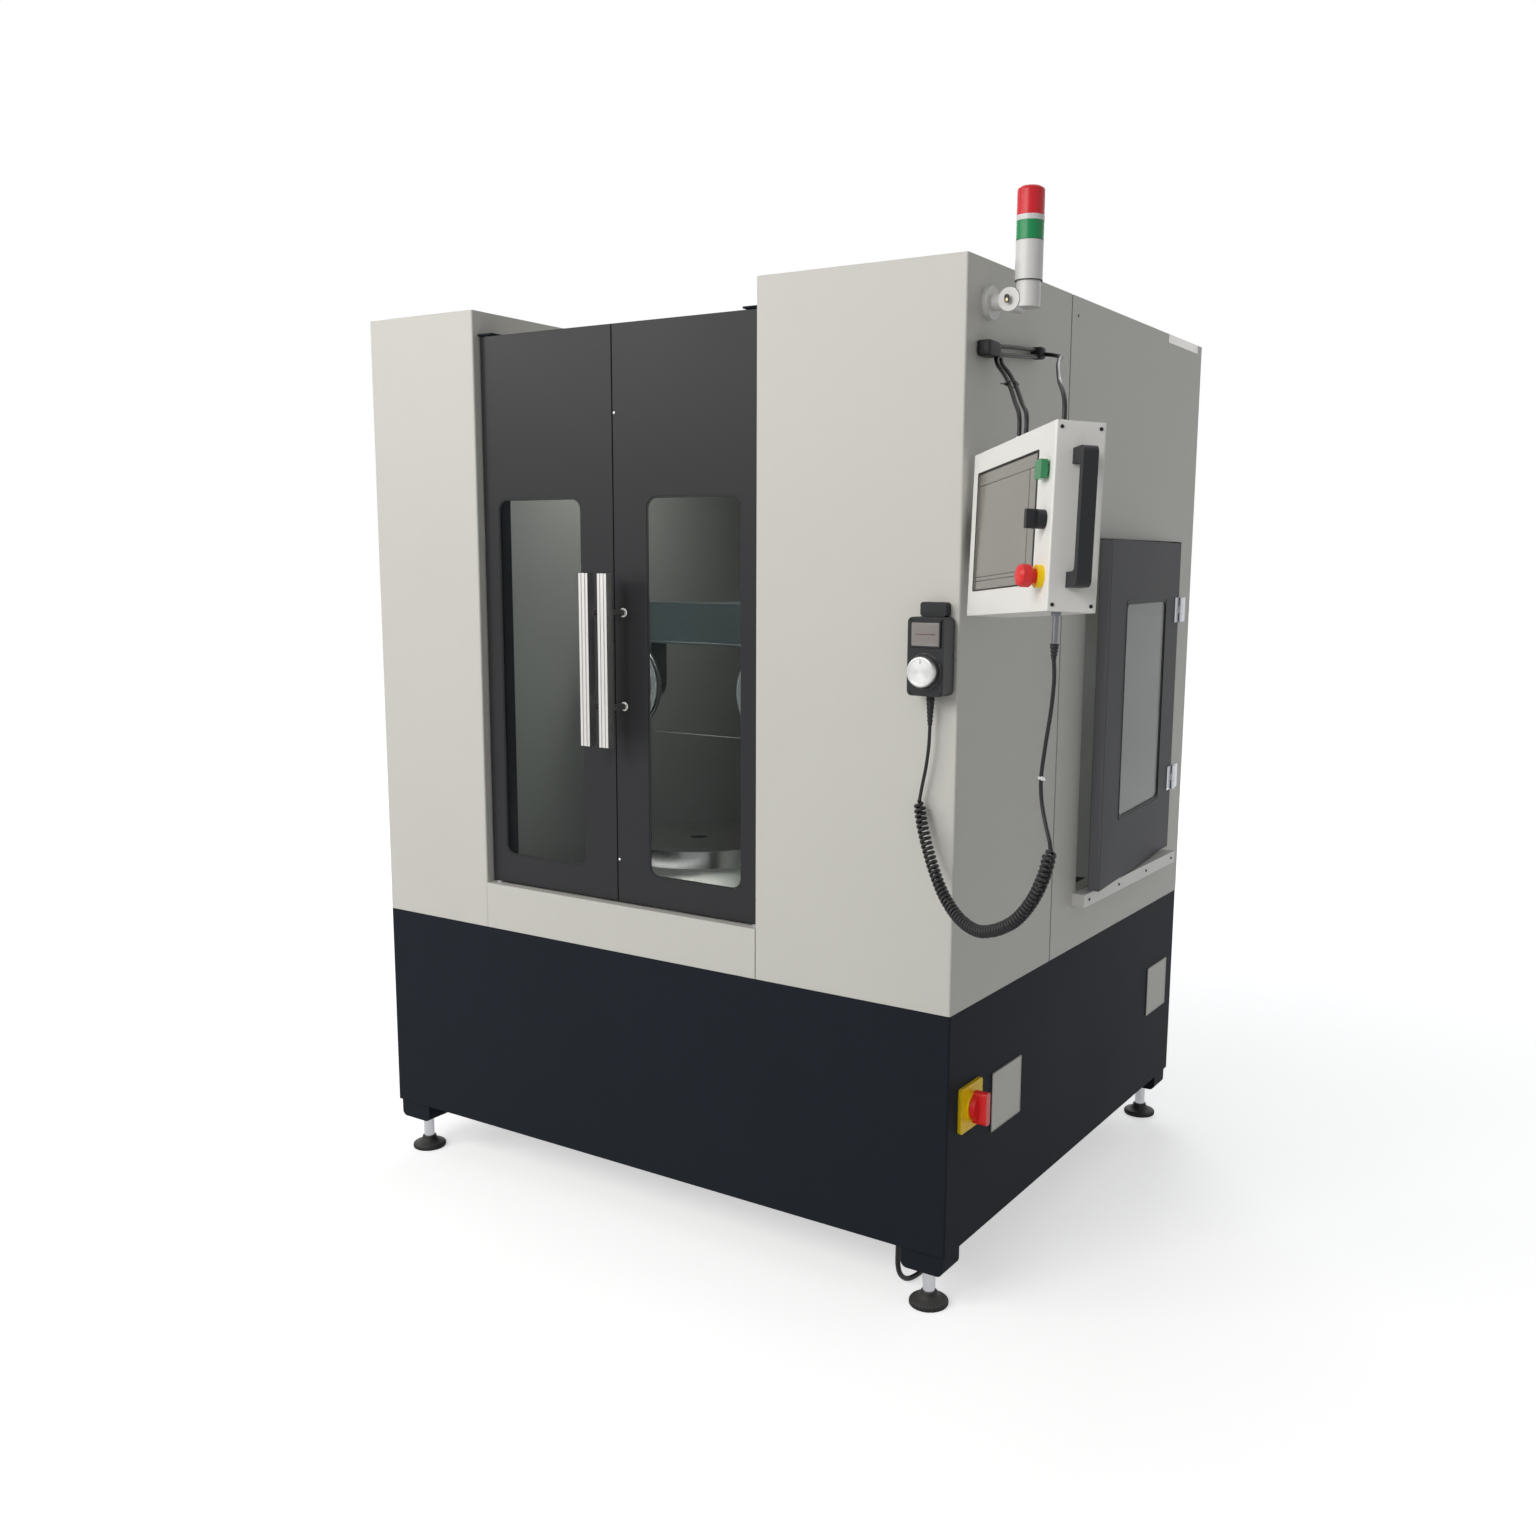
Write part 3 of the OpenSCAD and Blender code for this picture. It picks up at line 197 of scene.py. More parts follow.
def rounded_outline(half_w, half_h, radius):
    """Outline of a rectangle with round corners, as (32, 2): a quarter circle at each corner."""
    t = np.linspace(0, np.pi / 2, 8)
    quarter = radius * np.stack([np.cos(t), np.sin(t)], -1)
    out = []
    for sx, sy, k in [(1, 1, 0), (-1, 1, 1), (-1, -1, 2), (1, -1, 3)]:
        c, s = math.cos(k * math.pi / 2), math.sin(k * math.pi / 2)
        out.append(quarter @ np.array([[c, s], [-s, c]]) + [sx * (half_w - radius), sy * (half_h - radius)])
    return np.concatenate(out)


def stacked(profile, centre, across, up, size, radius, least):
    """Rings of a flat piece: for each (inset, height) of its profile, the outline drawn in and lifted.

    The piece's back lies at centre, and its height stands out along across x up. The
    corners' radius shrinks with the inset, but never below least.
    """
    x, z = unit(across), unit(up)
    rings = np.stack([np.insert(rounded_outline(size[0] / 2 - inset, size[1] / 2 - inset,
                                                max(radius - inset, least)), 2, height, axis=1)
                      for inset, height in profile])
    return (np.asarray(centre) + rings[..., :1] * x + rings[..., 1:2] * z
            + rings[..., 2:] * np.cross(x, z))


def plate(name, centre, across, up, size, radius, edge=0.0006):
    """Flat plate with round corners and softened rims. size is (width, height, thickness).

    The rim follows a quarter circle of radius edge: inset edge * (1 - cos q), height
    thickness - edge * (1 - sin q).
    """
    profile = [(0.0, 0.0)] + [(edge * (1 - math.cos(q)), size[2] - edge * (1 - math.sin(q)))
                              for q in np.linspace(0, np.pi / 2, 4)]
    return ring_shell(name, stacked(profile, centre, across, up, size, radius, 1e-5))


def rim(name, centre, across, up, size, width, thick, radius):
    """Flat frame with round corners, standing thick proud of centre along across x up.

    Four outlines, outer and inner at the back and at the front, are joined in a loop.
    size is the outer width and height, and width is how broad the frame is.
    """
    soft = min(width, thick) * 0.3
    profile = [(0, 0), (0, thick - soft), (soft, thick), (width - soft, thick),
               (width, thick - soft), (width, 0)]
    return ring_shell(name, stacked(profile, centre, across, up, size, radius, 2e-4), loop=True,
                      lengths=np.arange(len(profile) + 1) * 0.001)


print("builders ready")

# %% [markdown]
# ## The box's own directions
#
# The screen box leans and turns, so its front isn't along any axis. Its glass is a
# plain slab of three unequal sides, and the singular vectors of a slab's corners are
# its own edges, so the directions are read from the frame and not typed in.

# %% Directions of the slabs
def corners_of(node):
    """All points of a CAD node as an array."""
    mesh = frame["nodes"][node].data
    co = np.zeros(len(mesh.vertices) * 3, np.float32)
    mesh.vertices.foreach_get("co", co)
    return co.reshape(-1, 3).astype(float)


def slab_axes(node, hints):
    """Unit vectors along a slab's sides, longest first, each turned to agree with its hint."""
    p = np.unique(corners_of(node).round(6), axis=0)
    axes = np.linalg.svd(p - p.mean(0), full_matrices=False)[2]
    return [a * math.copysign(1.0, float(a @ np.asarray(h))) for a, h in zip(axes, hints)]


def extent(node, axes):
    """Lowest and highest places of a node along each of the axes."""
    places = corners_of(node) @ np.array(axes).T
    return places.min(axis=0), places.max(axis=0)


box_x, box_z, box_y = slab_axes("screen_glass", [(1, -1, 0), (0, 0, 1), (1, 1, 0)])
box_axes = (box_x, box_y, box_z)
box_low, box_high = extent("screen_box", box_axes)
box_long, box_deep, box_tall = box_high - box_low


def in_box(x, y, z):
    """A point given from the box's lower near corner, along its length, depth and height."""
    return (box_low + (x, y, z)) @ np.array(box_axes)


print("screen box", (box_high - box_low).round(4), "face looks along", (-box_y).round(3))

# %% [markdown]
# ## Cords
#
# A cord is a tube of fixed length that hangs or lies where its weight takes it. Each
# one is laid along listed points, joined by a smooth curve, and swept with a
# round section. A Bezier curve with a bevel would do as well, but a mesh tube can also
# carry the curly stretch.

# %% Curves and tubes
def smooth_line(points, step):
    """Catmull-Rom curve through the points, with places about step apart.

    On each stretch the place is a cubic in t whose slope at a point is half the
    chord between its neighbours, so the curve passes through every point.
    """
    p = np.asarray(points, float)
    ext = np.vstack([2 * p[0] - p[1], p, 2 * p[-1] - p[-2]])
    a, b, c, d = ext[:-3], ext[1:-2], ext[2:-1], ext[3:]
    n = np.maximum(1, np.ceil(np.linalg.norm(c - b, axis=1) / step).astype(int))
    i = np.repeat(np.arange(len(n)), n)
    t = (np.concatenate([np.arange(k) / k for k in n]))[:, None]
    line = 0.5 * (2 * b[i] + (c[i] - a[i]) * t + (2 * a[i] - 5 * b[i] + 4 * c[i] - d[i]) * t**2
                  + (3 * b[i] - a[i] - 3 * c[i] + d[i]) * t**3)
    return np.vstack([line, p[-1]])


def relaxed(line, passes):
    """The line eased: each pass moves a point to a quarter, a half and a quarter of its three neighbours."""
    for _ in range(passes):
        line = np.vstack([line[:1], (line[:-2] + 2 * line[1:-1] + line[2:]) / 4, line[-1:]])
    return line


def tube(name, line, diameter, aside, sides=12):
    """Round tube round a line: each ring lies square to the line's direction t.

    One spoke of the ring is t x aside, so aside is a direction the line never takes.
    """
    t = unit(np.gradient(line, axis=0))
    a = unit(np.cross(t, aside))
    b = np.cross(t, a)
    q = np.linspace(0, 2 * np.pi, sides, endpoint=False)
    spokes = np.cos(q)[None, :, None] * a[:, None] + np.sin(q)[None, :, None] * b[:, None]
    return ring_shell(name, line[:, None] + 0.5 * diameter * spokes, sharp=60, lengths=run_of(line))


def eased(x):
    """A share from 0 to 1 that starts and stops softly: 3 x^2 - 2 x^3."""
    return x * x * (3 - 2 * x)


def mm(points):
    """Points given in millimetres, in metres."""
    return np.asarray(points, float) / 1000


print("tubes ready")

# %% [markdown]
# ### Supply cord
#
# The mains lead drops from a gland behind the front right foot, bends onto the floor
# and runs back under the machine, where its spare length is wound in a flat coil
# beside the plug. The turns climb a diameter for each layer, as a wound cord does.

# %% Supply cord
supply_d = 0.011
coil_centre, coil_outer, coil_inner = mm([400, -215]), 0.0705, 0.0595
power_route = mm([
    [645, -600, 108], [645, -600, 82], [645, -600, 58], [646, -596, 37],
    [648, -585, 20.5], [651, -569, 9.5], [655, -550, 6], [658, -525, 6],
    [657, -500, 6], [651, -470, 6], [641, -440, 6], [626, -408, 6], [605, -376, 6],
    [577, -345, 6], [545, -315, 6], [511, -280, 6], [486, -247, 6], [470.5, -215, 6]])
plug_route = mm([
    [454, -260, 27.5], [470, -242, 26], [487, -220, 23], [504, -192, 20], [515, -165, 23],
    [520, -140, 30], [520, -128, 31], [520, -116, 31]])


def wound(turns):
    """Winding: the radius and height of each whole turn, eased into the next over a sixth of a turn.

    A point is the coil's centre + radius * (cos t, sin t), at the turn's height, in
    steps of a 24th of a turn.
    """
    radius = np.array([coil_outer, coil_inner, coil_inner, coil_outer, coil_outer])
    height = supply_d * np.array([0.5, 0.5, 1.5, 1.5, 2.5])
    a = np.arange(0, turns + 1e-9, 1 / 24)
    k = np.minimum(a.astype(int), 4)
    k1 = np.minimum(k + 1, 4)
    s = eased(np.clip((a - k - 5 / 6) * 6, 0, 1))
    r, z = radius[k] + (radius[k1] - radius[k]) * s, height[k] + (height[k1] - height[k]) * s
    t = 2 * np.pi * a
    return np.stack([coil_centre[0] + r * np.cos(t), coil_centre[1] + r * np.sin(t), z], -1)


winding = wound(turns=4 + 320 / 360)
supply_line = np.vstack([smooth_line(power_route, 0.008)[:-1], winding[:-1],
                         smooth_line(plug_route, 0.008)])
supply_cord = tube("supply_cord", supply_line, supply_d, aside=(0.6, 0.3, 1.0))
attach(supply_cord, "cabinet")
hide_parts("power_cord", "power_coil")

# %% [markdown]
# ### Pendant cord
#
# A short straight lead leaves the pendant, turns into a spring-like curl and climbs to
# a gland under the screen box. The curl is the same cord wound about its own route,
# with the radius opening and closing over a turn and a half at each end. Points are
# kept a 16th of a turn apart on the curl, and wider apart on the straight lead.

# %% Pendant cord
lead_d, curl_r, curl_turns = 0.007, 0.0085, 68
lead_upper = mm([[740, -688, 1200], [738, -687, 1160], [732, -685, 1120], [724, -683, 1085]])
curl_route = mm([
    [719, -683, 1056], [720, -684, 1040], [733, -692, 998], [762, -710, 942], [802, -737, 892],
    [853, -773, 862], [911, -816, 856], [966, -856, 874], [1020, -896, 907],
    [1062, -926, 952], [1090, -946, 1000], [1103, -955, 1040], [1104, -956, 1052]])
lead_lower = mm([
    [1102, -955, 1062], [1092, -948, 1084], [1079, -938, 1120],
    [1075, -935, 1160], [1084, -942, 1217], [1094, -949, 1270], [1099, -952, 1320]])

# The gland under the box: its place along the box's length and depth, and how far it hangs
low_gland, low_gland_length, clear = (0.413, 0.028), 0.050, 0.0003
landing = np.array([in_box(*low_gland, -low_gland_length - drop) for drop in (0.020, clear)])

middle = smooth_line(np.vstack([lead_upper, curl_route, lead_lower, landing]), 0.0006)
run = run_of(middle)
start, stop = (run[np.linalg.norm(middle - p, axis=1).argmin()] for p in (curl_route[0], curl_route[-1]))
share = np.clip((run - start) / (stop - start), 0, 1)
opening = eased(np.clip(np.minimum(share, 1 - share) * curl_turns / 1.5, 0, 1))
heading = unit(np.gradient(middle, axis=0))
aside = unit(np.cross(heading, [1.0, 1.0, 0.0]))
other = np.cross(heading, aside)
turn = 2 * np.pi * curl_turns * share
helix = middle + (curl_r * opening)[:, None] * (np.cos(turn)[:, None] * aside + np.sin(turn)[:, None] * other)
straight_step = 0.012
step = np.where((share > 0) & (share < 1), 1 / 16 / curl_turns * (stop - start), straight_step)
keep = np.concatenate([[0], np.flatnonzero(np.diff(np.floor(np.cumsum(np.gradient(run) / step)))) + 1])
pendant_line = np.vstack([helix[keep], helix[-1:]])
pendant_cord = tube("curly_cord", pendant_line, lead_d, aside=(0.53, 0.61, 0.05), sides=8)
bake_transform(pendant_cord)
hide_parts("pendant_cord")

# %% [markdown]
# ### Screen cables
#
# Two cables drop together from the front boot to the box, a third comes round from
# the rear boot, and two short links join the boots. They are limp jacketed leads, so
# each sags a little.

# %% Screen cables
cable_d = 0.008

# The glands on top: their places along the box's length and depth, their height, and
# how far above them each cable turns down
top_glands, gland_height = [(0.152, 0.034), (0.166, 0.042), (0.352, 0.044)], 0.016
turn_down = [0.040, 0.040, 0.032]
cable_routes = [mm(r) for r in (
    [[804, -580, 1874], [804, -580, 1870], [808, -585, 1861], [829, -610, 1850], [850, -637, 1835],
     [873, -666, 1815], [893, -690, 1789], [910, -712, 1768]],
    [[810, -571, 1874], [810, -571, 1870], [814, -577, 1861], [835, -602, 1851], [857, -629, 1836],
     [880, -657, 1816], [901, -681, 1790], [919, -704, 1769]],
    [[811, -372, 1906], [815, -372, 1906], [827, -374, 1904], [848, -395, 1897], [878, -450, 1888],
     [915, -545, 1870], [962, -660, 1842], [1010, -765, 1805], [1040, -830, 1790]])]
link_routes = [mm(r) for r in (
    [[794, -568, 1896], [798, -545, 1900], [800, -480, 1906], [798, -420, 1910], [795, -390, 1912]],
    [[800, -568, 1884], [802, -545, 1885], [803, -480, 1890], [802, -420, 1897], [800, -390, 1901]])]
cords = [supply_cord, pendant_cord]
for i, route in enumerate(cable_routes):
    ends = [in_box(*top_glands[i], box_tall + gland_height + rise)
            for rise in (turn_down[i], 0.014, clear)]
    line = relaxed(smooth_line(np.vstack([route, ends]), 0.004), passes=50)
    cable = tube(f"screen_cable_{i + 1}", line, cable_d, aside=(0.66, -0.66, 0.2))
    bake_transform(cable)
    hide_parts("screen_cables")
    length = float(run_of(line)[-1])
    cords.append(cable)
    print(cable.name, round(length, 3), "m")
for i, route in enumerate(link_routes):
    line = smooth_line(route, 0.006)
    link = tube(f"boot_link_{i + 1}", line, cable_d, aside=Z)
    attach(link, "cabinet")
    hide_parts("screen_cables")
    length = float(run_of(line)[-1])
    cords.append(link)
    print(link.name, round(length, 3), "m")

# %% [markdown]
# ## Finishes
#
# Sheet metal, castings, plastics and rubber differ in three things that the eye reads
# first: how rough they are, what fine relief they carry and how their edges catch
# light. Those effects are shared, so each is a node group built once and placed in
# every material with its own values. Shaders stay in the materials themselves.

# %% Node groups
def new_group(name, inputs, outputs):
    """Empty shader group with number inputs {name: default} and outputs {name: kind}.

    It gives the tree, the sockets that its inputs come from, and its output node.
    """
    tree = bpy.data.node_groups.new(name, "ShaderNodeTree")
    for label, value in inputs.items():
        tree.interface.new_socket(label, in_out="INPUT", socket_type="NodeSocketFloat").default_value = value
    for label, kind in outputs.items():
        tree.interface.new_socket(label, in_out="OUTPUT", socket_type=kind)
    return tree, tree.nodes.new("NodeGroupInput").outputs, tree.nodes.new("NodeGroupOutput")


def feed(tree, node, **sockets):
    """Link or set a node's sockets, named with _ for a space, or numbered as i0, i1 and so on."""
    for key, value in sockets.items():
        numbered = key[0] == "i" and key[1:].isdigit()
        socket = node.inputs[int(key[1:]) if numbered else key.replace("_", " ")]
        if isinstance(value, bpy.types.NodeSocket):
            tree.links.new(value, socket)
        else:
            socket.default_value = value
    return node


def add(tree, kind, settings=None, **sockets):
    """A new node with its settings, and its sockets linked or set."""
    node = tree.nodes.new(kind)
    for key, value in (settings or {}).items():
        setattr(node, key, value)
    return feed(tree, node, **sockets)


def maths(tree, operation, a, b=0.0, clamp=False):
    """Output of a Math node on two numbers or links."""
    return add(tree, "ShaderNodeMath", {"operation": operation, "use_clamp": clamp}, i0=a, i1=b).outputs[0]


def vectors(tree, operation, output, *values):
    """Output, Vector or Value, of a Vector Math node on one or two vectors."""
    node = add(tree, "ShaderNodeVectorMath", {"operation": operation},
               **{f"i{k}": v for k, v in enumerate(values)})
    return node.outputs[output]


def noise(tree, place, scale, detail):
    """Output of a Noise Texture."""
    return add(tree, "ShaderNodeTexNoise", Vector=place, Scale=scale, Detail=detail).outputs[0]


def own_place(tree):
    """Where a point lies in its object's own space."""
    return tree.nodes.new("ShaderNodeTexCoord").outputs["Object"]


def true_normal(tree):
    """The surface's own normal."""
    return tree.nodes.new("ShaderNodeNewGeometry").outputs["Normal"]


def blend_colours(tree, factor, first, second):
    """Output of a colour Mix node."""
    return add(tree, "ShaderNodeMix", {"data_type": "RGBA"}, i0=factor, i6=first, i7=second).outputs[2]


# Fine relief and slow clouding of a sprayed or moulded surface
grain, g_in, g_out = new_group("surface_grain", {"Scale": 600.0, "Cloud Scale": 3.0},
                               {"Height": "NodeSocketFloat", "Cloud": "NodeSocketFloat"})
place = own_place(grain)
feed(grain, g_out, Height=noise(grain, place, g_in["Scale"], 2.0),
     Cloud=noise(grain, place, g_in["Cloud Scale"], 3.0))

# Rounded look, and a mask along edges for wear and for a painted edge highlight, from the bevelled normal
# against the true one
edge, e_in, e_out = new_group("edge_wear_and_highlight", {"Radius": 0.002, "Amount": 1.0},
                              {"Normal": "NodeSocketVector", "Mask": "NodeSocketFloat"})
soft = add(edge, "ShaderNodeBevel", {"samples": 4}, Radius=e_in["Radius"]).outputs[0]
turned_by = maths(edge, "SUBTRACT", 1.0, vectors(edge, "DOT_PRODUCT", "Value", soft, true_normal(edge)))
chips = maths(edge, "SUBTRACT", noise(edge, own_place(edge), 90.0, 4.0), 0.45, True)
wear_and_highlight_mask = maths(edge, "MULTIPLY", maths(edge, "MULTIPLY", turned_by, 5.0, True),
             maths(edge, "MULTIPLY", chips, 6.0, True))
feed(edge, e_out, Normal=soft, Mask=maths(edge, "MULTIPLY", wear_and_highlight_mask, e_in["Amount"], True))

# Dust lies on what faces up, in patches
dust, d_in, d_out = new_group("settled_dust", {"Amount": 0.3}, {"Mask": "NodeSocketFloat"})
upward = add(dust, "ShaderNodeSeparateXYZ", i0=true_normal(dust)).outputs["Z"]
facing = maths(dust, "MULTIPLY", maths(dust, "SUBTRACT", upward, 0.3, True),
               noise(dust, own_place(dust), 14.0, 5.0))
feed(dust, d_out, Mask=maths(dust, "MULTIPLY", facing, d_in["Amount"], True))

# Fine parallel scratches: noise stretched along one axis
brush, b_in, b_out = new_group("brushing", {"Across X": 900.0, "Across Y": 900.0, "Across Z": 12.0},
                               {"Streak": "NodeSocketFloat"})
stretch = add(brush, "ShaderNodeCombineXYZ", **{axis: b_in[f"Across {axis}"] for axis in "XYZ"})
scaled = vectors(brush, "MULTIPLY", "Vector", own_place(brush), stretch.outputs[0])
feed(brush, b_out, Streak=noise(brush, scaled, 1.0, 2.0))
print("node groups", [g.name for g in bpy.data.node_groups])

# %% [markdown]
# ### Materials
#
# Powder coat is a satin dielectric with an orange-peel relief about a millimetre
# wide; moulded plastic is finer; brushed metal spreads its shine across the brushing.
# One function per family keeps them alike, and each finish is a line of values.

# %% Material families
dust_colour = (0.46, 0.44, 0.40, 1)


def shaded(name, **plain):
    """New material with its Principled shader. plain sets sockets that are the same all over."""
    m = bpy.data.materials.new(name)
    m.use_nodes = True
    return m, m.node_tree, feed(m.node_tree, m.node_tree.nodes["Principled BSDF"], **plain)


def placed(tree, group, **values):
    """Outputs of a group node with its values."""
    return add(tree, "ShaderNodeGroup", {"node_tree": group}, **values).outputs


def between(tree, factor, low, high):
    """A number that runs from low to high as the factor runs from 0 to 1."""
    return add(tree, "ShaderNodeMapRange", i0=factor, i3=low, i4=high).outputs[0]


def raised(tree, height, strength, depth, **normal):
    """Normal that shows a height up to depth, in metres, as relief."""
    return add(tree, "ShaderNodeBump", Strength=strength, Distance=depth, Height=height, **normal).outputs[0]


def rgba(colour, by=1.0):
    """Colour with alpha 1, made lighter or darker."""
    return [min(1.0, c * by) for c in colour] + [1.0]


def coated(name, colour, roughness, relief=0.08, grain_scale=700.0, bevel=0.002, wear_and_highlight=0.15, clouds=0.05,
           dusty=0.15, worn_and_lit=None, mirror=0.5, **plain):
    """Sprayed or moulded surface: clouded colour, edge wear, dust and fine relief.

    Roughness runs 0.05 either way with the clouds. Along edges a mask marks wear and paints a highlight:
    there the surface shows the edge colour given, or its own made 1.6 times as light. mirror is the shine at
    a right angle.
    """
    m, tree, p = shaded(name, Specular_IOR_Level=mirror, **plain)
    g = placed(tree, grain, Scale=grain_scale)
    e = placed(tree, edge, Radius=bevel, Amount=wear_and_highlight)
    d = placed(tree, dust, Amount=dusty)
    base = blend_colours(tree, g["Cloud"], rgba(colour, 1 - clouds), rgba(colour, 1 + clouds))
    # Edges: wear, and a painted highlight, lighter than the surface
    base = blend_colours(tree, e["Mask"], base, rgba(worn_and_lit or colour, 1.0 if worn_and_lit else 1.6))
    feed(tree, p, Base_Color=blend_colours(tree, d["Mask"], base, dust_colour),
         Roughness=between(tree, g["Cloud"], roughness - 0.05, roughness + 0.05),
         Normal=raised(tree, g["Height"], relief, 0.0004, Normal=e["Normal"]))
    return m


def brushed(name, colour, roughness, across=(900.0, 900.0, 12.0), bevel=0.0008):
    """Drawn, ground or turned metal: streaks in colour, roughness and relief."""
    m, tree, p = shaded(name, Metallic=1.0)
    streak = placed(tree, brush, Across_X=across[0], Across_Y=across[1], Across_Z=across[2])["Streak"]
    e = placed(tree, edge, Radius=bevel, Amount=0.0)
    feed(tree, p, Base_Color=blend_colours(tree, streak, rgba(colour, 0.88), rgba(colour, 1.08)),
         Roughness=between(tree, streak, roughness * 0.75, roughness * 1.3),
         Normal=raised(tree, streak, 0.12, 0.0002, Normal=e["Normal"]))
    return m


def pane(name, tint):
    """Glass: a smooth Principled shader, and a Transparent one for diffuse and shadow rays.

    Those rays carry the light of the lamps and of the lit surfaces about, so it goes
    through the pane and lights what stands behind.
    """
    m, tree, p = shaded(name, Base_Color=rgba(tint), Transmission_Weight=1.0, IOR=1.12)
    feed(tree, p, Roughness=between(tree, placed(tree, grain, Scale=40.0)["Cloud"], 0.0, 0.015))
    path = tree.nodes.new("ShaderNodeLightPath").outputs
    clear = add(tree, "ShaderNodeBsdfTransparent", Color=rgba(tint, 1.22)).outputs[0]
    surface = p.outputs[0]
    for ray in ("Is Diffuse Ray", "Is Shadow Ray"):
        surface = add(tree, "ShaderNodeMixShader", i0=path[ray], i1=surface, i2=clear).outputs[0]
    tree.links.new(surface, tree.nodes["Material Output"].inputs[0])
    return m


moulded = {"grain_scale": 1500.0, "bevel": 0.0010}
finish = {
    "light_paint": coated("light_grey_powder_coat", (0.600, 0.590, 0.550), 0.46, clouds=0.025,
                          worn_and_lit=(0.72, 0.71, 0.68), mirror=0.35),
    "dark_paint": coated("graphite_powder_coat", (0.026, 0.0265, 0.029), 0.36, clouds=0.08, mirror=0.16),
    "anthracite_paint": coated("anthracite_powder_coat", (0.017, 0.0205, 0.027), 0.50, clouds=0.08,
                               mirror=0.03),
    "white_paint": coated("off_white_powder_coat", (0.85, 0.838, 0.805), 0.40, relief=0.04, clouds=0.02,
                          bevel=0.0012, mirror=0.4),
    "machined_steel": brushed("ground_steel", (0.62, 0.62, 0.61), 0.24, across=(40.0, 40.0, 900.0)),
    "zinc_steel": brushed("bright_zinc", (0.52, 0.53, 0.56), 0.24, across=(300.0, 300.0, 300.0)),
    "satin_aluminium": brushed("satin_anodised_aluminium", (0.60, 0.59, 0.57), 0.32, bevel=0.0012),
    "window_glass": pane("clear_safety_glass", (0.62, 0.66, 0.665)),
    "display_glass": coated("display_face", (0.215, 0.195, 0.178), 0.14, relief=0.0, wear_and_highlight=0.0, clouds=0.16,
                            dusty=0.0, bevel=0.0004, Coat_Weight=0.6, Coat_Roughness=0.04),
    "black_plastic": coated("black_moulded_plastic", (0.012, 0.013, 0.015), 0.44, mirror=0.3, relief=0.10,
                            wear_and_highlight=0.25, worn_and_lit=(0.07, 0.07, 0.075), **moulded),
    "grey_plastic": coated("off_white_moulded_plastic", (0.72, 0.71, 0.69), 0.36, relief=0.03, clouds=0.02,
                           Subsurface_Weight=0.05, **moulded),
    "yellow_plastic": coated("yellow_moulded_plastic", (0.96, 0.66, 0.004), 0.38, mirror=0.25, relief=0.05,
                             grain_scale=1500.0, bevel=0.0008, clouds=0.04),
    "red_plastic": coated("red_moulded_plastic", (0.80, 0.012, 0.014), 0.32, relief=0.03, **moulded),
    "green_plastic": coated("green_moulded_plastic", (0.006, 0.235, 0.075), 0.26, relief=0.02,
                            Coat_Weight=0.3, **moulded),
    "black_rubber": coated("black_rubber", (0.011, 0.011, 0.012), 0.55, mirror=0.3, relief=0.15,
                           grain_scale=900.0, bevel=0.0010, wear_and_highlight=0.1, dusty=0.35),
    "cord_jacket": coated("black_cable_jacket", (0.010, 0.010, 0.012), 0.38, mirror=0.32, relief=0.05,
                          grain_scale=1200.0, bevel=0.0004, wear_and_highlight=0.0),
    "machine_casting": coated("grey_green_cast_paint", (0.125, 0.155, 0.155), 0.45, relief=0.5,
                              grain_scale=160.0, clouds=0.14, wear_and_highlight=0.4, worn_and_lit=(0.30, 0.31, 0.30), bevel=0.004),
}
print(len(finish), "finishes")

# %% [markdown]
# ### Lenses
#
# The signal tower's lenses are coloured plastic with fine upright ribs that spread the
# lamp's light. The ribs are a sine of the angle about the tower's axis, so they stand
# evenly all the way round.

# %% Lens material
def moved(tree, x=0.0, y=0.0, z=0.0):
    """Place in the object's own space, measured from a new origin."""
    shift = add(tree, "ShaderNodeMapping", i0=own_place(tree))
    shift.inputs["Location"].default_value = (-x, -y, 0.0 - z)
    return shift.outputs[0]


def wave(tree, phase, turns):
    """A number from 0 to 1 that follows sin(phase x turns)."""
    sine = maths(tree, "SINE", maths(tree, "MULTIPLY", phase, turns))
    return add(tree, "ShaderNodeMapRange", i0=sine, i1=-1.0, i2=1.0).outputs[0]


def lens_finish(name, colour, axis_xy):
    """Glossy coloured plastic with 60 upright ribs: height = sin(60 x angle about the axis)."""
    m, tree, p = shaded(name, Roughness=0.24, Specular_IOR_Level=0.3, Subsurface_Weight=0.12,
                        Subsurface_Scale=0.01)
    xyz = add(tree, "ShaderNodeSeparateXYZ", i0=moved(tree, *axis_xy)).outputs
    share = wave(tree, maths(tree, "ARCTAN2", xyz["Y"], xyz["X"]), 60.0)
    cloud = placed(tree, grain, Scale=400.0, Cloud_Scale=25.0)["Cloud"]
    tone = maths(tree, "ADD", maths(tree, "MULTIPLY", share, 0.35), maths(tree, "MULTIPLY", cloud, 0.65))
    feed(tree, p, Base_Color=blend_colours(tree, tone, rgba(colour, 0.82), rgba(colour, 1.18)),
         Normal=raised(tree, share, 0.15, 0.0006))
    return m


tower_low, tower_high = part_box("tower_body")
tower_axis = ((tower_low[0] + tower_high[0]) / 2, (tower_low[1] + tower_high[1]) / 2)
finish["red_lens"] = lens_finish("red_lens", (0.70, 0.012, 0.022), tower_axis)
finish["green_lens"] = lens_finish("green_lens", (0.004, 0.270, 0.085), tower_axis)
print("lens axis at", [round(a, 4) for a in tower_axis])

# %% [markdown]
# ### Turned metal
#
# A lathe leaves fine rings about the axis it turned. The pattern is a wave of the
# distance from that axis, which a Mapping node moves to where the piece stands.

